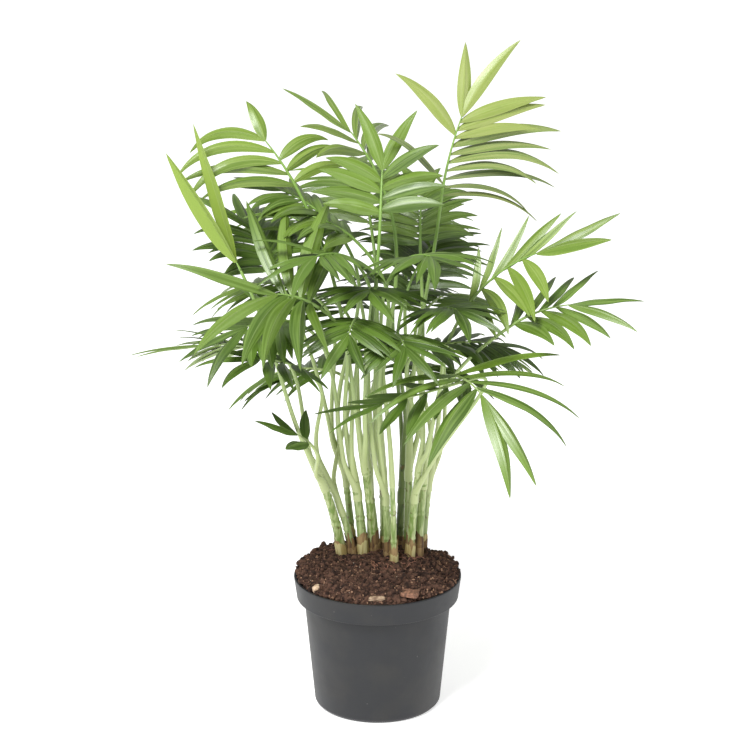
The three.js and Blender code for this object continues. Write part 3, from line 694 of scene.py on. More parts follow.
def scatter_tree():
    """Rough lumps strewn over a surface; a fixed seed places, turns and sizes them."""
    tree, given = new_tree("strewn lumps", {
        "Amount": "Float", "Smallest": "Float", "Largest": "Float", "Detail": "Int",
        "Roughness": "Float", "Seed": "Int", "Skin": "Material",
    })
    points = add(tree, "GeometryNodeDistributePointsOnFaces", {
        "Mesh": given["Geometry"], "Density": given["Amount"], "Seed": given["Seed"],
    })
    lump = add(tree, "GeometryNodeMeshIcoSphere", {"Radius": 0.5, "Subdivisions": given["Detail"]})
    turn = add(tree, "FunctionNodeRandomValue", {"Max": (6.28, 6.28, 6.28), "Seed": given["Seed"]},
               data_type="FLOAT_VECTOR")
    size = add(tree, "FunctionNodeRandomValue",
               {2: given["Smallest"], 3: given["Largest"], "Seed": given["Seed"]},
               data_type="FLOAT")
    shape = add(tree, "FunctionNodeRandomValue",
                {0: (0.6, 0.6, 0.45), 1: (1.2, 1.2, 0.9), "Seed": given["Seed"]},
                data_type="FLOAT_VECTOR")
    scale = add(tree, "ShaderNodeVectorMath",
                {0: shape.outputs[0], "Scale": size.outputs[1]}, operation="SCALE")
    strewn = add(tree, "GeometryNodeInstanceOnPoints", {
        "Points": points.outputs[0], "Instance": lump.outputs[0], "Rotation": turn.outputs[0],
        "Scale": scale.outputs[0],
    })
    real = add(tree, "GeometryNodeRealizeInstances", {"Geometry": strewn.outputs[0]})
    # a grain of about a millimetre makes every lump unlike the next
    grain = add(tree, "ShaderNodeTexNoise", {"Scale": 900.0, "Detail": 1.0})
    centred = add(tree, "ShaderNodeVectorMath", {0: grain.outputs["Color"], 1: (0.5, 0.5, 0.5)},
                  operation="SUBTRACT")
    offset = add(tree, "ShaderNodeVectorMath",
                 {0: centred.outputs[0], "Scale": given["Roughness"]}, operation="SCALE")
    rough = add(tree, "GeometryNodeSetPosition",
                {"Geometry": real.outputs[0], "Offset": offset.outputs[0]})
    return close_tree(tree, rough.outputs[0], given["Skin"])


def paths_mesh(name, paths):
    """Edges along paths whose rows are centre and radius in millimetres, kept as `girth`."""
    corners = np.concatenate(paths)
    edges, start = [], 0
    for path in paths:
        edges.extend((start + i, start + i + 1) for i in range(len(path) - 1))
        start += len(path)
    data = bpy.data.meshes.new(name)
    data.from_pydata((corners[:, :3] * MM).tolist(), edges, [])
    girth = data.attributes.new("girth", "FLOAT", "POINT")
    girth.data.foreach_set("value", (corners[:, 3] * MM).tolist())
    return data


# ---------------------------------------------------------------- finishes
def linear(code):
    """An sRGB hex colour as linear red, green, blue and alpha."""
    parts = [int(code[i:i + 2], 16) / 255 for i in (1, 3, 5)]
    return (*[p / 12.92 if p <= 0.04045 else ((p + 0.055) / 1.055) ** 2.4 for p in parts], 1.0)


def new_material(name, sockets):
    material = bpy.data.materials.new(name)
    material.use_nodes = True
    shader = material.node_tree.nodes["Principled BSDF"]
    for key, value in sockets.items():
        shader.inputs[key].default_value = value
    return material, material.node_tree, shader


def blend(tree, value, low, high, plain, other, most=1.0):
    """One colour over another as a value rises from `low` to `high`, covering `most` at the end."""
    share = add(tree, "ShaderNodeMapRange",
                {"Value": value, "From Min": low, "From Max": high, "To Max": most})
    return add(tree, "ShaderNodeMix", {0: share.outputs[0], 6: plain, 7: other},
               data_type="RGBA").outputs[2]


def mottled(tree, shader, plain, other, size, low=0.4, high=0.6, upright=1.0):
    """Patches of another colour, `size` millimetres across and longer upwards by 1 / `upright`."""
    place = add(tree, "ShaderNodeTexCoord").outputs["Object"]
    drawn = add(tree, "ShaderNodeMapping", {"Vector": place, "Scale": (1, 1, upright)})
    patches = add(tree, "ShaderNodeTexNoise",
                  {"Vector": drawn.outputs[0], "Scale": 1 / (size * MM), "Detail": 3.0})
    colour = blend(tree, patches.outputs[0], low, high, plain, other)
    tree.links.new(colour, shader.inputs["Base Color"])
    return place, colour


def speckled(tree, shader, place, base, code, grain, detail, low, high, most):
    """Specks of another colour, `grain` of them to the metre, on a surface already coloured."""
    specks = add(tree, "ShaderNodeTexNoise", {"Vector": place, "Scale": grain, "Detail": detail})
    colour = blend(tree, specks.outputs[0], low, high, base, linear(code), most)
    tree.links.new(colour, shader.inputs["Base Color"])


def bumpy(tree, shader, place, grains):
    """Relief from noise of several grains, each a size and a height in millimetres."""
    below = None
    for size, height in grains:
        grain = add(tree, "ShaderNodeTexNoise", {"Vector": place, "Scale": 1 / (size * MM)})
        inputs = {"Height": grain.outputs[0], "Distance": height * MM}
        if below:
            inputs["Normal"] = below
        below = add(tree, "ShaderNodeBump", inputs).outputs[0]
    tree.links.new(below, shader.inputs["Normal"])


def moulded_polypropylene(colours):
    # Injection-moulded polypropylene: matte charcoal with a fine spark-eroded grain, a few pale
    # scuffs and a trace of dried peat.
    material, tree, shader = new_material("Moulded polypropylene, charcoal",
                                          {"Roughness": 0.5, "Specular IOR Level": 0.4})
    place, base = mottled(tree, shader, (*colours.pot, 1), linear("#292827"), 26, 0.45, 0.75)
    speckled(tree, shader, place, base, "#8b8782", 330.0, 2.0, 0.77, 0.81, 0.35)
    cloud = add(tree, "ShaderNodeTexNoise", {"Vector": place, "Scale": 60.0, "Detail": 4.0})
    gloss = add(tree, "ShaderNodeMapRange",
                {"Value": cloud.outputs[0], "To Min": 0.42, "To Max": 0.6})
    tree.links.new(gloss.outputs[0], shader.inputs["Roughness"])
    bumpy(tree, shader, place, ((9, 0.12), (0.7, 0.03)))
    return material


def moist_peat(name, code, other, size=5):
    # Moist peat compost: dull, crumbly, dark brown with redder fibres.
    material, tree, shader = new_material(name, {"Roughness": 0.95, "Specular IOR Level": 0.25})
    place, _ = mottled(tree, shader, linear(code), linear(other), size)
    bumpy(tree, shader, place, ((2.2, 0.5), (0.6, 0.2)))
    return material


def green_cane(name, colour, other):
    # Living cane: smooth and slightly waxy, streaked lengthwise, with small brown scars.
    material, tree, shader = new_material(name, {"Roughness": 0.38})
    place, base = mottled(tree, shader, colour, other, 1.7, 0.38, 0.58, 0.05)
    speckled(tree, shader, place, base, "#675531", 210.0, 3.0, 0.62, 0.7, 0.85)
    bumpy(tree, shader, place, ((3, 0.08),))
    return material


def green_stalk(name, foot, top):
    # Leaf stalk: smooth and waxy, as pale as the cane where it leaves it at about 0.17 m, and fully
    # green from 0.34 m up.
    material, tree, shader = new_material(name, {"Roughness": 0.4})
    place = add(tree, "ShaderNodeTexCoord").outputs["Object"]
    height = add(tree, "ShaderNodeSeparateXYZ", {0: place})
    colour = blend(tree, height.outputs["Z"], 0.17, 0.34, foot, top)
    tree.links.new(colour, shader.inputs["Base Color"])
    bumpy(tree, shader, place, ((2, 0.05),))
    return material


def dry_sheath(name, code, other):
    # Dead leaf sheath: dry and papery, with fine lengthwise fibres.
    material, tree, shader = new_material(name, {"Roughness": 0.8})
    place, _ = mottled(tree, shader, linear(code), linear(other), 2.4, 0.4, 0.6, 0.1)
    fibres = add(tree, "ShaderNodeMapping", {"Vector": place, "Scale": (1, 1, 0.12)})
    bumpy(tree, shader, fibres.outputs[0], ((0.9, 0.25),))
    return material


def leaf_blade(name, code, streak, roughness):
    # Palm leaflet: a waxy cuticle over parallel veins, so the sheen is satin and finely lined, with
    # paler streaks between the veins and a pale midrib. The veins are drawn twice as coarse as real
    # ones, to show.
    material, tree, shader = new_material(name, {"Roughness": roughness, "Coat Weight": 0.25,
                                                 "Coat Roughness": 0.28})
    place = add(tree, "ShaderNodeUVMap", uv_map="blade").outputs[0]
    long_grain = add(tree, "ShaderNodeMapping", {"Vector": place, "Scale": (7.0, 1.1, 1.0)})
    grain = add(tree, "ShaderNodeTexNoise", {"Vector": long_grain.outputs[0], "Scale": 1.0,
                                             "Detail": 2.0})
    streaked = blend(tree, grain.outputs[0], 0.38, 0.72, code, streak)
    across = add(tree, "ShaderNodeSeparateXYZ", {0: place})
    inwards = add(tree, "ShaderNodeMath", {0: across.outputs[0], 1: 0.5}, operation="PINGPONG")
    ribbed = blend(tree, inwards.outputs[0], 0.46, 0.495, streaked, linear("#b4c389"), 0.22)
    tree.links.new(ribbed, shader.inputs["Base Color"])
    veins = add(tree, "ShaderNodeTexWave", {"Vector": place, "Scale": 4.4}, bands_direction="X")
    lines = add(tree, "ShaderNodeBump",
                {"Height": veins.outputs[0], "Distance": 0.06 * MM, "Strength": 0.6})
    tree.links.new(lines.outputs[0], shader.inputs["Normal"])
    return material


LEAF_ROUGHNESS = {"upper": 0.36, "under": 0.6}
# Each tint of leaf: its piece, the record's slot, three tones dealt out leaflet by leaflet, the
# streaks between the veins, and the paler underside.
TINTS = {
    "new": ("leaves_new", "leaf_new", ("#5c6f44", "#70863f", "#849644"), "#949f5c", "#869662"),
    "spear": ("leaves_spear", "leaf_new", ("#75902c", "#667f2a", "#829a38"), "#9fb048", "#7f9738"),
    "fresh": ("leaves_fresh", "leaf_mid", ("#607c25", "#547024", "#708b30"), "#869c4a", "#7e944c"),
    "mid": ("leaves_mid", "leaf_mid", ("#516c1b", "#446017", "#627e24"), "#759044", "#798f4c"),
    # deep and shade are the leaf green darkened with painted shade, for fronds inside, under and behind
    # the bush
    "deep": ("leaves_deep_shade", "leaf_deep", ("#456119", "#395214", "#537023"), "#658038", "#6d844a"),
    "shade": ("leaves_shade", "leaf_deep", ("#385013", "#2e420f", "#435c1c"), "#536c2b", "#607540"),
}


# ---------------------------------------------------------------- what a user may change
def length_property(name, description, millimetres):
    return bpy.props.FloatProperty(name=name, description=description, default=millimetres * MM,
                                   unit="LENGTH", min=0.0, precision=5)


def colour_property(name, description, code):
    return bpy.props.FloatVectorProperty(name=name, description=description, size=3, min=0, max=1,
                                         default=linear(code)[:3], subtype="COLOR")


class PalmSizes(bpy.types.PropertyGroup):
    collar_round: length_property("Collar rounding", "Radius of the pot's rounded corners", 0.9)
    leaf_thickness: length_property("Leaf thickness", "Thickness of a leaflet's middle", 0.4)
    ring_spacing: length_property("Ring spacing", "Distance between the rings of a cane", 23)
    ring_height: length_property("Ring height", "How far a cane's rings stand proud", 0.32)
    crumb_large: length_property("Largest crumb", "Size of the largest crumbs of soil", 6)
    crumb_small: length_property("Smallest crumb", "Size of the smallest crumbs of soil", 0.7)
    crumbs: bpy.props.IntProperty(name="Crumbs", default=900,
                                  description="Number of large crumbs on the soil")
    fibres: bpy.props.IntProperty(name="Fibres", default=34,
                                  description="Number of root fibres on the soil")
    seed: bpy.props.IntProperty(name="Seed", default=7, description="Seed of all that is strewn")


class PalmColours(bpy.types.PropertyGroup):
    pot: colour_property("Pot", "Charcoal plastic of the pot", "#1f2023")
    cane: colour_property("Cane", "Pale green of the canes", "#b9c58c")
    stalk: colour_property("Leaf stalk", "Green of the leaf stalks near their blades", "#7d9f4c")
    floor: colour_property("Floor", "Pale floor of the stage", "#f4f4f4")


def settings():
    scene = bpy.context.scene
    return scene.palm_sizes, scene.palm_colours


# ---------------------------------------------------------------- pot
class PALM_OT_pot(bpy.types.Operator):
    """Make the round nursery pot, with its collar, thin wall and drain holes"""
    bl_idname = "palm.pot"
    bl_label = "Nursery pot"

    def execute(self, context):
        sizes, colours = settings()
        h, rim, foot, base = POT["height"], POT["rim"], POT["collar_foot"], POT["base"]
        collar, shoulder, edge = POT["collar"], POT["shoulder"], POT["edge"]
        wall, floor = POT["wall"], POT["floor"]
        outside = [
            (0, 0.7), (base - 9, 0.7), (base - 8.3, 0), (base - edge, 0), (base, edge),
            (shoulder, h - collar - 3.5), (shoulder, h - collar - 0.6), (foot, h - collar - 0.1),
            (foot + 0.1, h - collar + 1.5), (rim, h - 1.2), (rim, h), (rim - wall - 0.3, h),
        ]
        inside = [
            (rim - wall - 0.8, h - 1.5), (foot - wall, h - collar + 3),
            (shoulder - wall, h - collar - 2), (base - wall, edge + floor), (base - wall - 2, floor),
            (0, floor),
        ]
        profile = rounded([*outside, *inside], sizes.collar_round / MM)
        data = new_mesh("pot_shell", *lathe(profile, 144))
        face_outwards(data)
        piece = new_object("pot_shell", data)
        cutter = new_object("drill", self.drill_mesh())
        cut = piece.modifiers.new("drain holes", "BOOLEAN")
        cut.operation, cut.solver, cut.object = "DIFFERENCE", "EXACT", cutter
        plain_copy(piece)
        bpy.data.objects.remove(cutter)
        piece.data.materials.clear()
        piece.data.materials.append(moulded_polypropylene(colours))
        shade(piece.data, crease=40)
        seat(piece, "pot", "pot")
        return {"FINISHED"}

    @staticmethod
    def drill_mesh():
        """Round cutters for every drain hole, as one mesh."""
        radius, reach, deep = POT["hole_radius"], POT["hole_ring"], 5
        bit, skin = lathe([(0, -deep), (radius, -deep), (radius, deep), (0, deep)], 32)
        bits = []
        for k in range(POT["holes"]):
            angle = math.radians(k * 360 / POT["holes"] + 30)
            bits.append(([(x + reach * math.cos(angle), y + reach * math.sin(angle), z)
                          for x, y, z in bit], skin))
        data = new_mesh("drill", *joined(bits), smooth=False)
        face_outwards(data)
        return data


# ---------------------------------------------------------------- soil
def lobes(angle, table):
    """The greatest share, 1 in the middle of a lobe and 0 at its edge, of those at an angle."""
    return max(0, *[1 - abs((math.degrees(angle) - middle + 180) % 360 - 180) / half
                    for middle, half in table])


def ground(x, y):
    """Height of the soil's crumbly surface, in millimetres, banked up against parts of the rim."""
    lump = noise.noise(Vector((x, y, 3)) / EARTH["lump_size"]) * EARTH["lump"]
    crumb = noise.noise(Vector((x, y, 9)) / EARTH["crumb_size"]) * EARTH["crumb"]
    near = min(1, max(0, math.hypot(x, y) / soil_edge() - 0.6) / 0.4)
    bank = EARTH["bank"] * near * lobes(math.atan2(y, x), EARTH["banks"]) ** 0.5
    return earth_height(x, y) + lump + crumb + bank


def soil_edge():
    """Radius of the soil where its surface meets the pot's wall."""
    slope = (POT["rim"] - 0.8 - POT["collar_foot"]) / (POT["collar"] - 4)
    rise = EARTH["edge"] - (POT["height"] - POT["collar"] + 3)
    return POT["collar_foot"] - POT["wall"] + slope * rise - AIR


def spill(angle):
    """How far beyond the soil's edge the crumbs lie heaped over the rim, in millimetres."""
    return EARTH["spill"] * lobes(angle, EARTH["spills"]) ** 0.5


class PALM_OT_soil(bpy.types.Operator):
    """Make the soil in the pot, with crumbs of three sizes and pale specks on it"""
    bl_idname = "palm.soil"
    bl_label = "Soil"

    def execute(self, context):
        sizes, _ = settings()
        self.make_bed()
        tree = scatter_tree()
        # each kind: name, number, smallest and largest size, faces, roughness and finish
        small, large = sizes.crumb_small, sizes.crumb_large
        rich = moist_peat("Moist peat crumb", "#5b4236", "#2a1d18", 4)
        red = moist_peat("Pale peat crumb", "#96755f", "#4c352b", 3)
        fine = moist_peat("Fine peat", "#412c24", "#75574a", 3)
        speck = moist_peat("Pale grit", "#cfc6b6", "#a89c8a")
        rows = (
            ("crumbs_large", sizes.crumbs, large * 0.4, large, 2, 2.4, rich),
            ("crumbs_medium", sizes.crumbs, large * 0.2, large * 0.55, 1, 1.0, red),
            ("crumbs_fine", sizes.crumbs * 4, small, small * 2.6, 1, 0.5, fine),
            ("grit_specks", sizes.crumbs // 12, small * 0.8, small * 1.7, 1, 0.3, speck),
        )
        for index, (name, count, low, high, detail, rough, skin) in enumerate(rows):
            host = new_object(name, self.top_mesh(name))
            area = sum(face.area for face in host.data.polygons)
            grow(host, tree, Amount=count / area, Smallest=low, Largest=high, Detail=detail,
                 Roughness=rough * MM, Seed=sizes.seed + index, Skin=skin)
            seat(host, "soil", "soil")
        return {"FINISHED"}

    @staticmethod
    def make_bed():
        """The body of the soil, with relief on its surface."""
        edge, wall = soil_edge(), POT["wall"]
        side = [
            (0, POT["floor"] + GAP), (POT["base"] - wall - 2 - AIR, POT["floor"] + GAP),
            (POT["base"] - wall - AIR, POT["edge"] + POT["floor"]),
            (POT["shoulder"] - wall - AIR, POT["height"] - POT["collar"] - 2),
            (POT["collar_foot"] - wall - AIR, POT["height"] - POT["collar"] + 3),
        ]
        top = [(edge * share, EARTH["edge"]) for share in np.linspace(1, 0, 44)]
        start = EARTH["edge"] - 0.01

        def relief(x, y, z):
            return (x, y, ground(x, y) if z > start else z)

        data = new_mesh("soil_bed", *lathe([*side, *top], 132, relief), crease=70)
        face_outwards(data)
        data.materials.append(moist_peat("Moist peat", "#2c201a", "#49342a"))
        seat(new_object("soil_bed", data), "soil", "soil")

    @staticmethod
    def top_mesh(name):
        """The surface that crumbs lie on, which spills over the rim at both sides."""
        segments, rings, edge = 72, 18, soil_edge() - 0.8
        corners, faces = [], []
        for ring in range(rings + 1):
            for k in range(segments):
                angle = k * 2 * math.pi / segments
                r = edge * (ring / rings) if ring < rings else edge + spill(angle)
                x, y = r * math.cos(angle), r * math.sin(angle)
                height = ground(x, y)
                if r > edge:
                    height = max(height, POT["height"] + 0.4)
                corners.append((x, y, height))
        for ring in range(rings):
            for k in range(segments):
                n = (k + 1) % segments
                a, b = ring * segments, (ring + 1) * segments
                faces.append((a + k, b + k, b + n, a + n))
        return new_mesh(name, corners, faces)


class PALM_OT_litter(bpy.types.Operator):
    """Lay root fibres, bark and wood chips on the soil"""
    bl_idname = "palm.litter"
    bl_label = "Fibres and chips"

    # The fibres are dealt out to these in turn: the middle of the places where they start and how
    # far those lie from it, their least heading and how far it varies, how high they arch, and
    # their girth.
    TUFTS = (
        ((24, 2), 12, 0, 360, 2.5, 0.32),  # in a tuft at the right of the canes
        ((4, -6), 9, -100, 60, 0.8, 0.55),  # forwards from the middle canes
        ((0, 0), 50, 0, 360, 0.8, 0.32),  # anywhere
    )
    STEPS = 8
    # Each chip: name, place, length, width, height, heading, colour and its second colour.
    CHIPS = (
        ("wood_chip", -0.5, -52, 12, 4, 3.4, 4, "#b39a80", "#7d6450"),
        ("bark_chip", 23, -46, 13, 12, 4.4, -12, "#8f6650", "#5d4133"),
        ("root_lump", -43, -33.5, 6.5, 5, 5.4, 60, "#c9b096", "#ab9074"),
    )

    def execute(self, context):
        sizes, _ = settings()
        chance = np.random.default_rng(sizes.seed)
        tufts = [self.TUFTS[k % len(self.TUFTS)] for k in range(sizes.fibres)]
        paths = [self.fibre(chance, *tuft) for tuft in tufts]
        paths = [refine(rows, np.linspace(0, 1, 18)) for rows in paths if len(rows) > 3]
        fibres = new_object("root_fibres", paths_mesh("root_fibres", paths))
        skin = dry_sheath("Root fibre", "#8d6150", "#5f4032")
        grow(fibres, sweep_tree(), Sides=6, Relief=0.0, Grain=100.0, Skin=skin)
        seat(fibres, "soil", "soil")
        for name, *shape, code, other in self.CHIPS:
            data = self.chip(name, *shape)
            data.materials.append(dry_sheath(name.replace("_", " ").capitalize(), code, other))
            seat(new_object(name, data), "soil", "soil")
        return {"FINISHED"}

    def fibre(self, chance, middle, most, ahead, free, arch, girth):
        """Centre and radius along a root fibre, which ends where it meets the pot."""
        reach, turn = chance.uniform(0, most), chance.uniform(0, 2 * math.pi)
        x, y = middle[0] + reach * math.cos(turn), middle[1] + reach * math.sin(turn)
        heading, length = ahead + chance.uniform(0, free), chance.uniform(8, 22)
        rows = []
        for step in range(self.STEPS + 1):
            lift = math.sin(math.pi * step / self.STEPS) * arch
            rows.append([x, y, ground(x, y) + 0.6 + lift, girth - 0.02 * step])
            heading += chance.uniform(-20, 20)
            x += length / self.STEPS * math.cos(math.radians(heading))
            y += length / self.STEPS * math.sin(math.radians(heading))
            if math.hypot(x, y) > soil_edge() - 2:
                break
        return rows

    @staticmethod
    def chip(name, x, y, length, width, height, heading):
        """A broken chip, rough all over, bedded in the soil."""
        work = bmesh.new()
        bmesh.ops.create_icosphere(work, subdivisions=4, radius=1)
        turn = math.radians(heading)
        z = ground(x, y) + height * 0.2
        for vert in work.verts:
            blunt = vert.co * (1 / max(abs(c) for c in vert.co)) ** 0.6
            rough = 1 + 0.16 * noise.noise(vert.co * 2.3 + Vector((x, y, 0)))
            rough += 0.05 * noise.noise(vert.co * 9)
            u, v = blunt.x * length / 2 * rough, blunt.y * width / 2 * rough
            vert.co = Vector((x + u * math.cos(turn) - v * math.sin(turn),
                              y + u * math.sin(turn) + v * math.cos(turn),
                              z + blunt.z * height / 2 * rough)) * MM
        data = bpy.data.meshes.new(name)
        work.to_mesh(data)
        work.free()
        shade(data)
        return data


# ---------------------------------------------------------------- canes
class PALM_OT_canes(bpy.types.Operator):
    """Make the ringed green canes"""
    bl_idname = "palm.canes"
    bl_label = "Canes"

    def execute(self, context):
        sizes, colours = settings()
        tree = sweep_tree()
        others = [stem for *_, stems in CANES for stem in stems]
        young = [stem for stem in STEMS if stem not in others]
        rows = [("canes", "Pale green cane", (*colours.cane, 1), "#7b954a", young)]
        rows += [(name, finish, linear(code), *rest) for name, finish, code, *rest in CANES]
        for name, finish, colour, streak, stems in rows:
            canes = new_object(name, paths_mesh(name, [self.path(stem, sizes) for stem in stems]))
            grow(canes, tree, Sides=18, Relief=0.5 * MM, Grain=260.0,
                 Skin=green_cane(finish, colour, linear(streak)))
            seat(canes, "stem", *[f"stem_{stem[1:]}" for stem in stems])
        return {"FINISHED"}

    @staticmethod
    def path(stem, sizes):
        """Centre and radius along a cane, with the rings that old leaves left."""
        index = int(stem[1:])
        length = cane_length(stem)
        spacing = sizes.ring_spacing / MM * (1 + 0.15 * wobble(index, 1))
        rows = []
        for t in np.linspace(0, 1, RING["rows"]):
            away = (t * length + 9 * wobble(index, 2)) % spacing
            away = min(away, spacing - away)
            proud = math.exp(-(away / RING["width"]) ** 2)
            groove = math.exp(-((away - RING["groove_at"]) / RING["groove"]) ** 2)
            ring = sizes.ring_height / MM * (proud - RING["groove_depth"] * groove)
            rows.append([*cane_point(stem, t), cane_radius(stem, t) + ring])
        return np.array(rows)


class PALM_OT_sheaths(bpy.types.Operator):
    """Wrap the feet of the canes in torn, dry sheaths"""
    bl_idname = "palm.sheaths"
    bl_label = "Dry sheaths"

    def execute(self, context):
        finishes = (("Dry sheath, tan", "#a98e62", "#806643"),
                    ("Dry sheath, brown", "#8b7048", "#5b432d"),
                    ("Dry sheath, cream", "#cfc58d", "#a8945c"))
        sleeves, skins = [], []
        for index, stem in enumerate(STEMS):
            for layer, (tall, loose) in enumerate(zip(SHEATH["heights"], SHEATH["loose"])):
                seed = index * 7 + layer
                height = tall * (1 + SHEATH["uneven"] * wobble(seed, 4))
                sleeves.append(self.sleeve(stem, height, loose, seed))
                skins.extend([(index + layer * 2) % len(finishes)] * len(sleeves[-1][1]))
        data = new_mesh("cane_sheaths", *joined(sleeves), crease=50)
        face_outwards(data)
        for finish in finishes:
            data.materials.append(dry_sheath(*finish))
        data.polygons.foreach_set("material_index", skins)
        seat(new_object("cane_sheaths", data), "stem")
        return {"FINISHED"}

    @staticmethod
    def sleeve(stem, height, loose, seed):
        """A torn sleeve round a cane's foot: closed walls with a ragged upper edge."""
        columns, rows, wall = SHEATH["columns"], SHEATH["rows"], SHEATH["wall"]
        length = cane_length(stem)
        corners = []
        for k in range(columns):
            angle = k * 2 * math.pi / columns
            tall = height * (0.75 + 0.2 * math.cos(angle - seed) + 0.1 * wobble(seed, k + 11))
            tall *= 0.6 if k in (seed % columns, (seed * 3 + 7) % columns) else 1
            outer, inner = [], []
            for row in range(rows):
                u = row / (rows - 1)
                t = (EARTH["socket"] - 2 + (tall + 2) * u) / length
                centre, own = cane_point(stem, t), cane_direction(stem, t)
                side = own.cross(Vector((0, 1, 0))).normalized()
                out = turned(side, own, math.degrees(angle))
                r = cane_radius(stem, t) + loose + wall + 0.12 * u * u * (1 + wobble(seed, k + 40))
                outer.append(centre + out * r)
                inner.append(centre + out * (r - wall))
            corners.extend([*outer, *inner[::-1]])
        loop = 2 * rows
        faces = []
        for k in range(columns):
            n = (k + 1) % columns
            for i in range(loop):
                j = (i + 1) % loop
                faces.append((k * loop + i, n * loop + i, n * loop + j, k * loop + j))
        return corners, faces


# ---------------------------------------------------------------- fronds
class PALM_OT_stalks(bpy.types.Operator):
    """Grow the leaf stalks and ribs"""
    bl_idname = "palm.stalks"
    bl_label = "Leaf stalks"

    def execute(self, context):
        _, colours = settings()
        # Fronds on the cane with painted shade get stalks that start from its darker olive, which is
        # painted shade too.
        shaded_stems = CANES[-1][-1]
        old = [name for name, row in FRONDS.items() if row["stem"] in shaded_stems]
        young = [name for name in FRONDS if name not in old]
        pale, green = (*colours.cane, 1), (*colours.stalk, 1)
        for piece_name, skin, names in (
            ("leaf_stalks", green_stalk("Green leaf stalk", pale, green), young),
            ("shaded_stalks", green_stalk("Leaf stalk, painted shade", linear(SHADED_CANE), green), old),
        ):
            paths = [stalk_rows(FRONDS[name], corners_of(f"frond_{name}")) for name in names]
            stalks = new_object(piece_name, paths_mesh(piece_name, paths))
            grow(stalks, sweep_tree(), Sides=12, Relief=0.12 * MM, Grain=300.0, Skin=skin)
            seat(stalks, "leaf_mid", *[f"frond_{name}" for name in names])
        return {"FINISHED"}


class PALM_OT_leaves(bpy.types.Operator):
    """Grow the leaflets, joined by tint"""
    bl_idname = "palm.leaves"
    bl_label = "Leaflets"

    def execute(self, context):
        sizes, _ = settings()
        upper, lower = leaflet_faces()
        for tint, (piece_name, slot, tones, streak, underside) in TINTS.items():
            nodes = [name for name, row in FRONDS.items() if row["tint"] == tint]
            corners, places, faces, skins = [], [], [], []
            count = 0
            for name in nodes:
                solid = corners_of(f"frond_{name}")
                seed = list(FRONDS).index(name) + 1
                for leaf, kept in leaflets(FRONDS[name], seed):
                    rows = grown_rows(leaf, kept, solid)
                    if rows is None:
                        continue
                    shape, place = leaflet_corners(leaf, rows, sizes)
                    faces.extend([count + i for i in face] for face in upper + lower)
                    tone = min(2, int(leaf["tone"] * 3))
                    skins.extend([tone] * len(upper) + [len(tones)] * len(lower))
                    corners.append(shape)
                    places.append(place)
                    count += len(shape)
            data = new_mesh(piece_name, np.concatenate(corners), faces, crease=60)
            places = np.concatenate(places)
            index = np.empty(len(data.loops), int)
            data.loops.foreach_get("vertex_index", index)
            data.uv_layers.new(name="blade").data.foreach_set("uv", places[index].ravel())
            for tone, code in enumerate((*tones, underside)):
                below = tone == len(tones)
                label = "underside" if below else f"tone {tone + 1}"
                data.materials.append(leaf_blade(
                    f"Waxy leaf, {tint}, {label}", linear(code), linear(code if below else streak),
                    LEAF_ROUGHNESS["under" if below else "upper"]))
            data.polygons.foreach_set("material_index", skins)
            seat(new_object(piece_name, data), slot, *[f"frond_{name}" for name in nodes])
        return {"FINISHED"}


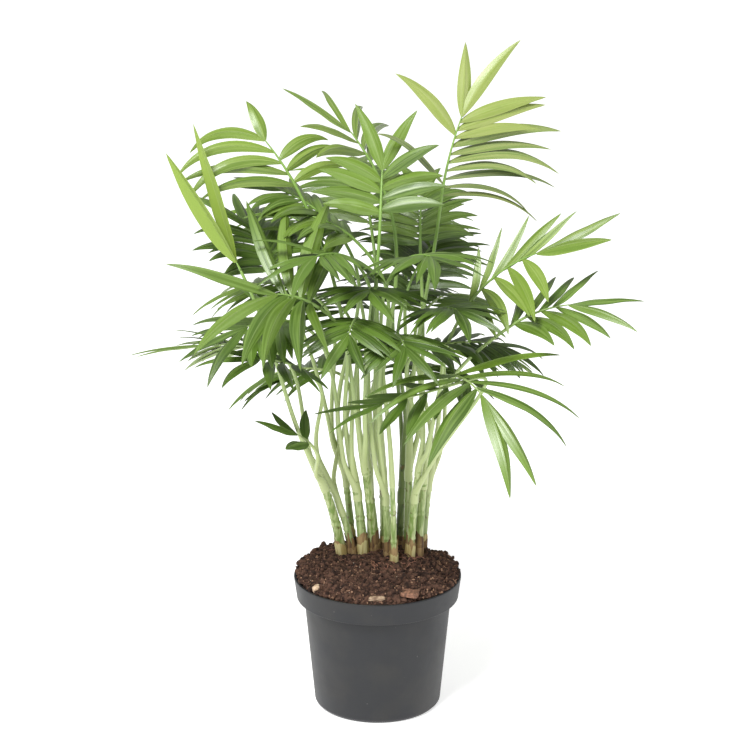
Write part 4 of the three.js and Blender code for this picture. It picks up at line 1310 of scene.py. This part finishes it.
# ---------------------------------------------------------------- stage
class PALM_OT_stage(bpy.types.Operator):
    """Set up the pale floor, the soft lights and the camera"""
    bl_idname = "palm.stage"
    bl_label = "Stage"

    # name, place and aim in metres, size in metres, power in watts
    LIGHTS = (
        ("key softbox", (-0.7, -1.2, 2.0), (0, 0, 0.25), 0.8, 62),
        ("fill softbox", (1.4, -0.9, 1.0), (0, 0, 0.25), 1.2, 6),
    )
    FLOOR_HALF = 4000
    # place in metres, lens and sensor in millimetres, and degrees that it looks down
    CAMERA = {"place": (-0.0011, -2.0, 0.9057), "lens": 142.8, "sensor": 36, "down": 18.2}

    def execute(self, context):
        _, colours = settings()
        scene = context.scene
        half = self.FLOOR_HALF
        data = new_mesh("floor", [(-half, -half, 0), (half, -half, 0), (half, half, 0),
                                  (-half, half, 0)], [(0, 1, 2, 3)], smooth=False)
        # Matte studio paper, lit through a little so that it stays white
        paper, _, _ = new_material("Matte paper", {
            "Base Color": (*colours.floor, 1), "Roughness": 0.9, "Specular IOR Level": 0.2,
            "Emission Color": (1, 1, 1, 1), "Emission Strength": 0.6,
        })
        data.materials.append(paper)
        new_object("floor", data)
        for name, place, aim, size, power in self.LIGHTS:
            light = bpy.data.lights.new(name, "AREA")
            light.size, light.energy = size, power
            self.point(new_object(name, light), place, aim)
        world = bpy.data.worlds.new("soft white room")
        world.use_nodes = True
        background = world.node_tree.nodes["Background"]
        background.inputs["Color"].default_value = (1, 1, 1, 1)
        background.inputs["Strength"].default_value = 0.42
        scene.world = world
        scene.view_settings.view_transform = "Standard"
        lens = bpy.data.cameras.new("camera")
        lens.sensor_width, lens.lens = self.CAMERA["sensor"], self.CAMERA["lens"]
        camera = new_object("camera", lens)
        camera.location = self.CAMERA["place"]
        camera.rotation_euler = (math.radians(90 - self.CAMERA["down"]), 0, 0)
        scene.camera = camera
        return {"FINISHED"}

    @staticmethod
    def point(item, place, aim):
        item.location = place
        item.rotation_euler = (Vector(aim) - Vector(place)).to_track_quat("-Z", "Y").to_euler()


# ---------------------------------------------------------------- panel and registration
OPERATORS = (PALM_OT_pot, PALM_OT_soil, PALM_OT_litter, PALM_OT_canes, PALM_OT_sheaths,
             PALM_OT_stalks, PALM_OT_leaves, PALM_OT_stage)


class PALM_PT_pieces(bpy.types.Panel):
    """Lists the palm's sizes, colours and pieces"""
    bl_label = "Parlour palm"
    bl_space_type = "VIEW_3D"
    bl_region_type = "UI"
    bl_category = "Palm"

    def draw(self, context):
        for group in settings():
            box = self.layout.box()
            for key in group.__annotations__:
                box.prop(group, key)
        for operator in OPERATORS:
            self.layout.operator(operator.bl_idname)


CLASSES = (PalmSizes, PalmColours, *OPERATORS, PALM_PT_pieces)


def register():
    for kind in CLASSES:
        bpy.utils.register_class(kind)
    bpy.types.Scene.palm_sizes = bpy.props.PointerProperty(type=PalmSizes)
    bpy.types.Scene.palm_colours = bpy.props.PointerProperty(type=PalmColours)


def unregister():
    del bpy.types.Scene.palm_sizes
    del bpy.types.Scene.palm_colours
    for kind in reversed(CLASSES):
        bpy.utils.unregister_class(kind)


def main():
    register()
    bpy.ops.palm.pot()
    bpy.ops.palm.soil()
    bpy.ops.palm.litter()
    bpy.ops.palm.canes()
    bpy.ops.palm.sheaths()
    bpy.ops.palm.stalks()
    bpy.ops.palm.leaves()
    bpy.ops.palm.stage()


if __name__ == "__main__":
    main()
